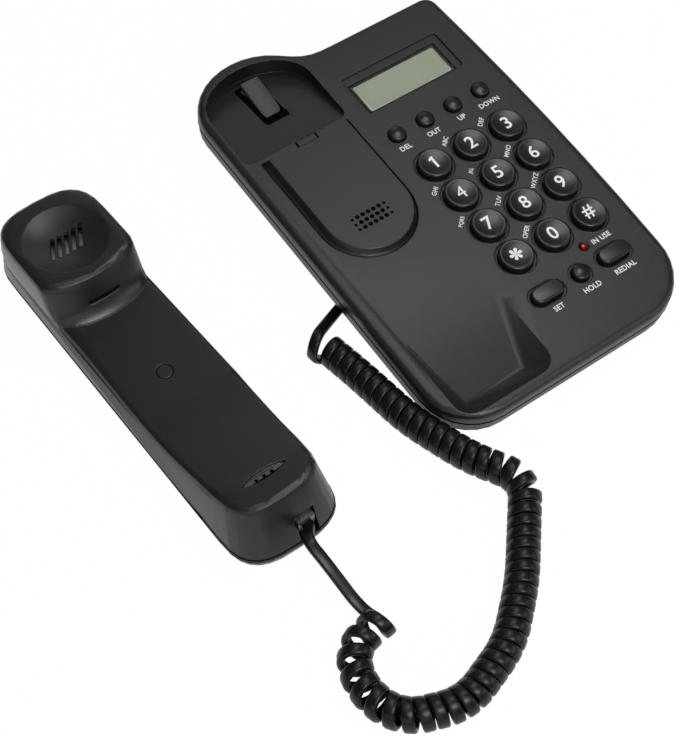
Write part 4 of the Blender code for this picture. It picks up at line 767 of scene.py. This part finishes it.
def display_cover():
    """The clear cover, and what lies flat under it; the pale strip at the opening's left and bottom is a
    painted highlight.
    """
    whole = rounded_loop(cover_width, cover_height, cover_corner)
    opening = rounded_loop(opening_width, opening_height, opening_corner)
    cell = rounded_loop(opening_width - 2 * film_edge, opening_height - 2 * film_edge,
                        opening_corner - film_edge)
    border_low = cover_bottom - border_thickness
    cover = sheet_piece("display_cover", whole, None, cover_bottom, cover_top, window_acrylic)
    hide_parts("display_window")
    sheet_piece("display_border", whole, opening, border_low, cover_bottom, border_paint)
    # The film's outline is shifted up and right, so the pale strip of painted highlight shows only at the
    # left and bottom
    shifted = [(x + film_edge, y + film_edge) for x, y in cell]
    sheet_piece("display_edge_highlight", opening, shifted, border_low, cover_bottom, painted_edge_highlight)
    sheet_piece("display_film", whole, None, border_low - film_thickness, border_low, crystal_cell)


# Black paint screened on the back of the cover: flat, with no grain of its own
border_paint = surface_of("screened black paint", "#0B0B0C", 0.5, 0.4, 0.002, 0.1, IOR=1.5)
# Painted highlight: a pale strip along the opening's left and bottom, where the clear sheet's cut edge
# catches the light
painted_edge_highlight = surface_of("painted highlight on the clear sheet's edge", "#C9CCC2", 0.3, 0.3, 0.004, 0.05, IOR=1.49)
display_cover()


# Finer forms of the case

# Parting lines, at a height over the deck and over the table
case_seam_height = -0.0060
handset_seam_height = 0.0068
seam_width = 0.0010
seam_proud = 0.00004

# Channel round the tongue: its outer and inner outlines, and (share across, share of depth) pairs
channel_left = -0.05395
channel_right = -0.01005
channel_front = -0.0177
channel_back = 0.0468
channel_depth = 0.0027
tongue_left = -0.04965
tongue_right = -0.01065
tongue_front = -0.0139
channel_steepness = 0.75
channel_turns = 40
channel_profile = ((0.0, 0.0), (0.03, 0.02), (0.10, 0.14), (0.20, 0.33), (0.35, 0.62), (0.50, 0.88),
                   (0.58, 0.79), (0.70, 0.61), (0.78, 0.45), (0.86, 0.25), (0.92, 0.11), (0.97, 0.03),
                   (1.0, 0.0), (1.06, -0.008))

# Speaker grille: three rows of seven holes, the last at each end smaller, each with a black disc of painted
# shade laid over it
grille_u = -0.0306
grille_v = 0.0012
grille_pitch_u = 0.00266
grille_pitch_v = 0.0028
grille_hole = 0.0020
grille_end_hole = 0.0013
grille_last = 3
shade_disc_sides = 14
shade_disc_lift = 0.00002

# Hook lever, and the slot that it lies in
lever_left = -0.0359
lever_right = -0.0272
lever_front = 0.0685
lever_length = 0.0200
lever_front_top = -0.0063
lever_back_top = -0.0035
lever_thickness = 0.0020
lever_corner = 0.0038
lever_nose = 0.0022
lever_droop = 0.0016
lever_edge = 0.0005
lever_edge_share = 0.3
lever_corner_share = 0.999
lever_outset = 0.00005
lever_clearance = 0.0001
lever_steps_mm = (0.0, 0.1, 0.25, 0.5, 0.8, 1.2, 1.7, 2.4, 3.5, 6.0, 10.0, 14.0, 18.0, 19.7, 20.0)
lever_gap = 0.0003
slot_left = -0.0386
slot_right = -0.0267
slot_front = 0.0645
slot_back = 0.0893
slot_corner = 0.0018
slot_outer = -0.0249
slot_outer_back = 0.0905

# Sloping floor of the earpiece's pocket
pocket_depth_front = 0.0018
pocket_depth_back = 0.0083
pocket_front = 0.0489
pocket_length = 0.0446
sheet_lift = 0.00004

# Beads round the keys and buttons, as (share across, share of height) pairs
collar_gap = 0.0011
collar_width = 0.0005
collar_height = 0.00016
collar_sides = 56
long_collar_steps = 10
collar_profile = ((0.0, 0.0), (0.25, 0.75), (0.5, 1.0), (0.75, 0.75), (1.0, 0.0))


def longest_loop(bm):
    """The longest closed run of a mesh's edges, as points in order."""
    left = set(bm.edges)
    best, best_length = [], 0.0
    while left:
        edge = left.pop()
        first, here = edge.verts
        run, length = [first.co.copy(), here.co.copy()], edge.calc_length()
        while here is not first:
            following = [e for e in here.link_edges if e in left]
            if not following:
                break
            edge = following[0]
            left.discard(edge)
            here = edge.other_vert(here)
            run.append(here.co.copy())
            length += edge.calc_length()
        if length > best_length:
            best, best_length = run[:-1], length
    return best


def parting_line(name, node, body, point, normal):
    """The dark line where two mouldings meet, laid round the outside of one of them at a plane."""
    bm = bmesh.new()
    bm.from_mesh(nodes[node].data)
    bmesh.ops.remove_doubles(bm, verts=bm.verts, dist=weld_reach)
    bmesh.ops.bisect_plane(bm, geom=bm.verts[:] + bm.edges[:] + bm.faces[:], plane_co=point, plane_no=normal,
                           clear_inner=True, clear_outer=True)
    loop = longest_loop(bm)
    bm.free()
    middle = sum(loop, Vector()) / len(loop)
    line = bmesh.new()
    pairs = []
    for i, here in enumerate(loop):
        along = loop[(i + 1) % len(loop)] - loop[i - 1]
        out = along.cross(normal).normalized()
        if out.dot(here - middle) < 0:
            out = -out
        near = here + out * seam_proud
        pair = []
        for side in (-1, 1):
            spot = near + normal * side * seam_width / 2
            spot.x = min(max(spot.x, cad_box[0][0]), cad_box[1][0])
            spot.y = min(max(spot.y, cad_box[0][1]), cad_box[1][1])
            pair.append(line.verts.new(spot))
        pairs.append(pair)
    for i, pair in enumerate(pairs):
        line.faces.new((pairs[i - 1][0], pair[0], pair[1], pairs[i - 1][1]))
    bmesh.ops.recalc_face_normals(line, faces=line.faces)
    piece = add_piece(name, body, line, Matrix.Identity(4), parting_gap)


def tongue_edge(left, right, front, i):
    """A point of a round-ended outline at a step: down its left side, round its front, up its right."""
    reach = (right - left) / 2
    if i == 0:
        return Vector((left, channel_back, 0.0))
    turn = math.pi + math.pi * (i - 1) / channel_turns
    return Vector(((left + right) / 2 + reach * math.cos(turn), front + reach + reach * math.sin(turn), 0.0))


def channel_lining():
    """The channel that curls round the tongue: two steep sides that meet in a crease.

    The inner side is rolled over the tongue's rim."""
    bm = bmesh.new()
    rows = []
    for i in range(channel_turns + 2):
        outer = tongue_edge(channel_left, channel_right, channel_front, i)
        inner = tongue_edge(tongue_left, tongue_right, tongue_front, i)
        depth = min(channel_depth, channel_steepness * (outer - inner).length)
        row = []
        for share, drop in channel_profile:
            point = outer.lerp(inner, share)
            point.z = -depth * drop
            row.append(bm.verts.new(point))
        rows.append(row)
    for back, front in zip(rows, rows[1:]):
        for j in range(len(channel_profile) - 1):
            bm.faces.new((back[j], front[j], front[j + 1], back[j + 1]))
    for face in bm.faces:
        face.smooth = True
    piece = add_piece("channel_lining", "base", bm, deck, case_abs)


def grille_hole_shade():
    """Black discs of painted shade laid just over the grille's holes, standing for the shade in the holes and
    on their rounded rims.
    """
    bm = bmesh.new()
    for row in (-1, 0, 1):
        for column in range(-grille_last, grille_last + 1):
            width = grille_end_hole if abs(column) == grille_last else grille_hole
            place = Matrix.Translation((grille_u + column * grille_pitch_u,
                                        grille_v + row * grille_pitch_v, shade_disc_lift))
            bmesh.ops.create_circle(bm, cap_ends=True, segments=shade_disc_sides, radius=width / 2, matrix=place)
    piece = add_piece("grille_hole_shade", "base", bm, deck, painted_hole_shade)


def collar(name, outline, place):
    """A low bead round a key's hole: outline gives its points at a distance from the key's side."""
    bm = bmesh.new()
    rings = []
    for across, rise in collar_profile:
        loop = outline(collar_gap + across * collar_width)
        rings.append([bm.verts.new((x, y, rise * collar_height)) for x, y in loop])
    bridge(bm, rings)
    smooth_outward(bm)
    piece = add_piece(name, "base", bm, deck @ Matrix.Translation((place[0], place[1], 0.0)), case_abs)


def collars():
    """The beads round the dial's keys and the buttons under it."""
    def round_outline(radius):
        """Circles about a round key, by their distance from its side."""
        turns = [2 * math.pi * i / collar_sides for i in range(collar_sides)]
        return lambda gap: [((radius + gap) * math.cos(turn), (radius + gap) * math.sin(turn))
                            for turn in turns]

    def long_outline(gap):
        """A long button's outline at a distance from its side."""
        return rounded_loop(long_length + 2 * gap, long_width + 2 * gap, long_width / 2 + gap,
                            long_collar_steps)

    for row, names in enumerate(key_rows):
        for column, name in enumerate(names):
            collar("key_collar_" + name, round_outline(key_radius), key_place(row, column))
    collar("button_collar_hold", round_outline(small_radius), (lower_u, lower_v))
    collar("button_collar_set", long_outline, (lower_u - lower_pitch, lower_v))
    collar("button_collar_redial", long_outline, (lower_u + lower_pitch, lower_v))


def pocket_floor(v):
    """Height of the sloping floor of the earpiece's pocket."""
    fall = pocket_depth_back - pocket_depth_front
    return -(pocket_depth_front + fall * (v - pocket_front) / pocket_length)


def floor_sheet(name, outline, material):
    """A flat sheet on the pocket's floor."""
    bm = bmesh.new()
    bm.faces.new([bm.verts.new((u, v, pocket_floor(v) + sheet_lift)) for u, v in outline])
    piece = add_piece(name, "base", bm, deck, material)


def hook_slot_surround():
    """A black sheet of painted shade for the slot at the lever's left and front, and the floor that closes up
    to it on its right.
    """
    corner = [(slot_left + slot_corner * (1 - math.cos(a)), slot_front + slot_corner * (1 - math.sin(a)))
              for a in (math.pi / 12 * i for i in range(7))]
    floor_sheet("hook_slot_shade", [(slot_left, slot_back)] + corner + [
        (slot_right, slot_front), (slot_right, lever_front), (lever_left - lever_gap, lever_front),
        (lever_left - lever_gap, slot_back)], parting_gap)
    floor_sheet("hook_slot_edge", [
        (lever_right + lever_gap, lever_front), (slot_outer, lever_front),
        (slot_outer, slot_outer_back), (lever_right + lever_gap, slot_outer_back)], case_abs)


def lever_cap():
    """The hook lever's plate: rounded front corners, a nose that turns down, soft sides."""
    half = (lever_right - lever_left) / 2
    middle = (lever_right + lever_left) / 2
    slope = (lever_back_top - lever_front_top) / lever_length
    bm = bmesh.new()
    rings = []
    for step_mm in lever_steps_mm:
        ahead = step_mm / 1000
        short = max(0.0, lever_corner - ahead)
        reach = (half - lever_corner + math.sqrt(lever_corner ** 2 - short ** 2) * lever_corner_share
                 + lever_outset)
        short = max(0.0, 1 - ahead / lever_nose)
        top = lever_front_top + slope * ahead - lever_droop * (1 - math.sqrt(1 - short ** 2))
        low = lever_front_top + slope * ahead - lever_thickness
        edge = min(lever_edge, top - low - lever_clearance, reach / 3)
        side = [(reach, low), (reach, top - edge),
                (reach - edge * lever_edge_share, top - edge * lever_edge_share), (reach - edge, top)]
        section = [(-u, w) for u, w in side] + side[::-1]
        rings.append([bm.verts.new(deck @ Vector((middle + u, lever_front + ahead, w))) for u, w in section])
    bridge(bm, rings)
    bm.faces.new(rings[0])
    bm.faces.new(rings[-1])
    smooth_outward(bm)
    piece = add_piece("hook_lever_cap", "hook_lever_body", bm, Matrix.Identity(4), lever_abs)
    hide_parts("hook_lever")


def lever_arms():
    """What carries the lever's plate: its two arms, its pin and its tail, as the solid has them, made black
    as painted shade under the plate's rounded corners.
    """
    slope = (lever_back_top - lever_front_top) / lever_length
    bm = bmesh.new()
    bm.from_mesh(nodes["hook_lever"].data)
    start = deck @ Vector((lever_left, lever_front, lever_front_top - lever_thickness - lever_clearance))
    bmesh.ops.bisect_plane(bm, geom=bm.verts[:] + bm.edges[:] + bm.faces[:], plane_co=start,
                           plane_no=deck.to_3x3() @ Vector((0.0, -slope, 1.0)), clear_outer=True)
    piece = add_piece("hook_lever_arms", "hook_lever_body", bm, Matrix.Identity(4), nylon_and_arm_shade)


# The narrow gap between two mouldings: nothing but shade
parting_gap = surface_of("shaded parting gap", "#030303", 0.9, 0.4, 0.01, 0.1, IOR=1.3,
                         Specular_IOR_Level=0.1)
# Painted shade of the grille's holes: black, and so matt that only a faint grain shows
painted_hole_shade = surface_of("painted shade of the grille's holes", "#040404", 0.95, 0.4, 0.1, 0.3, IOR=1.3,
                         Specular_IOR_Level=0.1)

table_up = Vector((0.0, 0.0, 1.0))
deck_up = (deck.to_3x3() @ table_up).normalized()
parting_line("case_parting_line", "base_top_shell", "base", deck @ Vector((0.0, 0.0, case_seam_height)),
             deck_up)
parting_line("handset_parting_line", "handset_inner_shell", "handset",
             Vector((0.0, 0.0, handset_seam_height)), table_up)
channel_lining()
grille_hole_shade()
hook_slot_surround()
lever_cap()
lever_arms()
collars()


# Printed lettering: dial digits on the keys, words and letter groups on the deck

print_lift = 0.00008
least_letter_height = 0.001
letter_spacing = 1.06
letter_resolution = 6
digit_height = 0.0059
digit_weight = 0.00012
digit_shift = (-0.0002, 0.0003, 0.0)
star_waist = 0.10
star_waist_up = 0.22
star_tip = 0.13
star_tip_up = 0.37
word_height = 0.0023
word_weight = 0.00006
word_narrow = 0.92
small_word_left = 0.0006
small_word_v = 0.0217
lower_word_v = -0.0745
lamp_word_u = 0.0414
lamp_word_v = -0.0580
group_height = 0.0020
group_weight = 0.00004
group_turn = math.radians(42)
group_left = 0.0078
group_up = 0.0075
key_groups = {"2": "ABC", "3": "DEF", "4": "GHI", "5": "JKL", "6": "MNO", "7": "PQRS", "8": "TUV",
              "9": "WXYZ", "0": "OPER"}

# White two-part ink, pad-printed: a thin chalky film with a trace of the plastic's grain in it
print_ink = surface_of("pad-printed white ink", "#F4F4F2", 0.55, 0.5, 0.01, 0.03, IOR=1.5)


def letters(text, height, weight, narrow=1.0):
    """Flat lettering as a mesh, centred on its own middle, with capitals of the given height."""
    data = bpy.data.curves.new("lettering", "FONT")
    data.body = text
    data.size = 1.0
    data.space_character = letter_spacing
    data.resolution_u = letter_resolution
    thing = placed("lettering", data)
    bpy.context.view_layer.update()
    scale = height / max(thing.bound_box[6][1] - thing.bound_box[0][1], least_letter_height)
    data.offset = weight / scale
    mesh = bpy.data.meshes.new_from_object(thing.evaluated_get(bpy.context.evaluated_depsgraph_get()))
    bpy.data.objects.remove(thing)
    xs = [vertex.co.x for vertex in mesh.vertices]
    ys = [vertex.co.y for vertex in mesh.vertices]
    middle = Vector(((min(xs) + max(xs)) / 2, (min(ys) + max(ys)) / 2, 0.0))
    mesh.transform(Matrix.Diagonal((scale * narrow, scale, 1.0, 1.0)) @ Matrix.Translation(-middle))
    return mesh


def one(height):
    """The figure one, which the face of the other digits draws without its flag."""
    points = [(0.13, -0.5), (0.13, 0.5), (-0.03, 0.5), (-0.25, 0.36), (-0.25, 0.20), (-0.06, 0.29),
              (-0.06, -0.5)]
    bm = bmesh.new()
    bm.faces.new([bm.verts.new((x * height, y * height, 0.0)) for x, y in reversed(points)])
    return mesh_of("one", bm)


def star(height, arms=6):
    """The dial's star: short rounded arms round a middle."""
    bm = bmesh.new()
    for arm in range(arms):
        turn = Matrix.Rotation(2 * math.pi * (arm + 0.5) / arms, 4, "Z")
        points = [(0.0, 0.0), (height * star_waist, height * star_waist_up)]
        points += [(height * star_tip * math.cos(a), height * (star_tip_up + star_tip * math.sin(a)))
                   for a in (0.0, 0.6, 1.2, math.pi / 2, math.pi - 1.2, math.pi - 0.6, math.pi)]
        points += [(-height * star_waist, height * star_waist_up)]
        bm.faces.new([bm.verts.new(turn @ Vector((x, y, 0.0))) for x, y in points])
    return mesh_of("star", bm)


def dish_height(x, y):
    """Height of a key's dished top above the deck."""
    reach = key_radius - key_edge
    ball = (reach ** 2 + key_dish ** 2) / (2 * key_dish)
    return key_height - key_dish + ball - math.sqrt(ball ** 2 - min(x * x + y * y, reach ** 2))


def print_mesh(name, body, mesh, place):
    """Puts lettering in its place, in ink, on the body that carries it."""
    mesh.transform(place)
    mesh.materials.clear()
    mesh.materials.append(print_ink)
    piece = placed(name, mesh)
    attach(piece, body)


def key_print():
    """The dial's digits and signs, laid into the dished tops; the four is drawn light to stay open."""
    for row, names in enumerate(key_rows):
        for column, name in enumerate(names):
            u, v = key_place(row, column)
            if name == "star":
                mesh = star(digit_height)
            elif name == "1":
                mesh = one(digit_height)
            else:
                text = "#" if name == "hash" else name
                mesh = letters(text, digit_height, 0.0 if name == "4" else digit_weight)
            mesh.transform(Matrix.Translation(digit_shift))
            for vertex in mesh.vertices:
                vertex.co.z = dish_height(vertex.co.x, vertex.co.y) + print_lift
            place = deck @ Matrix.Translation((u, v, 0.0))
            print_mesh("key_print_" + name, "key_%s_body" % name, mesh, place)


def deck_words():
    """(text, u, v, height, weight, turn) for every word on the deck."""
    words = []
    for i, text in enumerate(("DEL", "OUT", "UP", "DOWN")):
        u = small_u + (i - 1.5) * small_pitch - small_word_left
        words.append((text, u, small_word_v, word_height, word_weight, 0.0))
    for text, u in (("SET", lower_u - lower_pitch), ("HOLD", lower_u), ("REDIAL", lower_u + lower_pitch)):
        words.append((text, u, lower_word_v, word_height, word_weight, 0.0))
    words.append(("IN USE", lamp_word_u, lamp_word_v, word_height, word_weight, 0.0))
    for row, names in enumerate(key_rows):
        for column, name in enumerate(names):
            if name in key_groups:
                u, v = key_place(row, column)
                words.append((key_groups[name], u - group_left, v + group_up, group_height, group_weight,
                              group_turn))
    return words


def deck_print():
    """The words and letter groups on the deck."""
    for text, u, v, height, weight, turn in deck_words():
        mesh = letters(text, height, weight, word_narrow)
        place = deck @ Matrix.Translation((u, v, print_lift)) @ Matrix.Rotation(turn, 4, "Z")
        print_mesh("deck_print_" + text.replace(" ", "_").lower(), "base", mesh, place)


key_print()
deck_print()
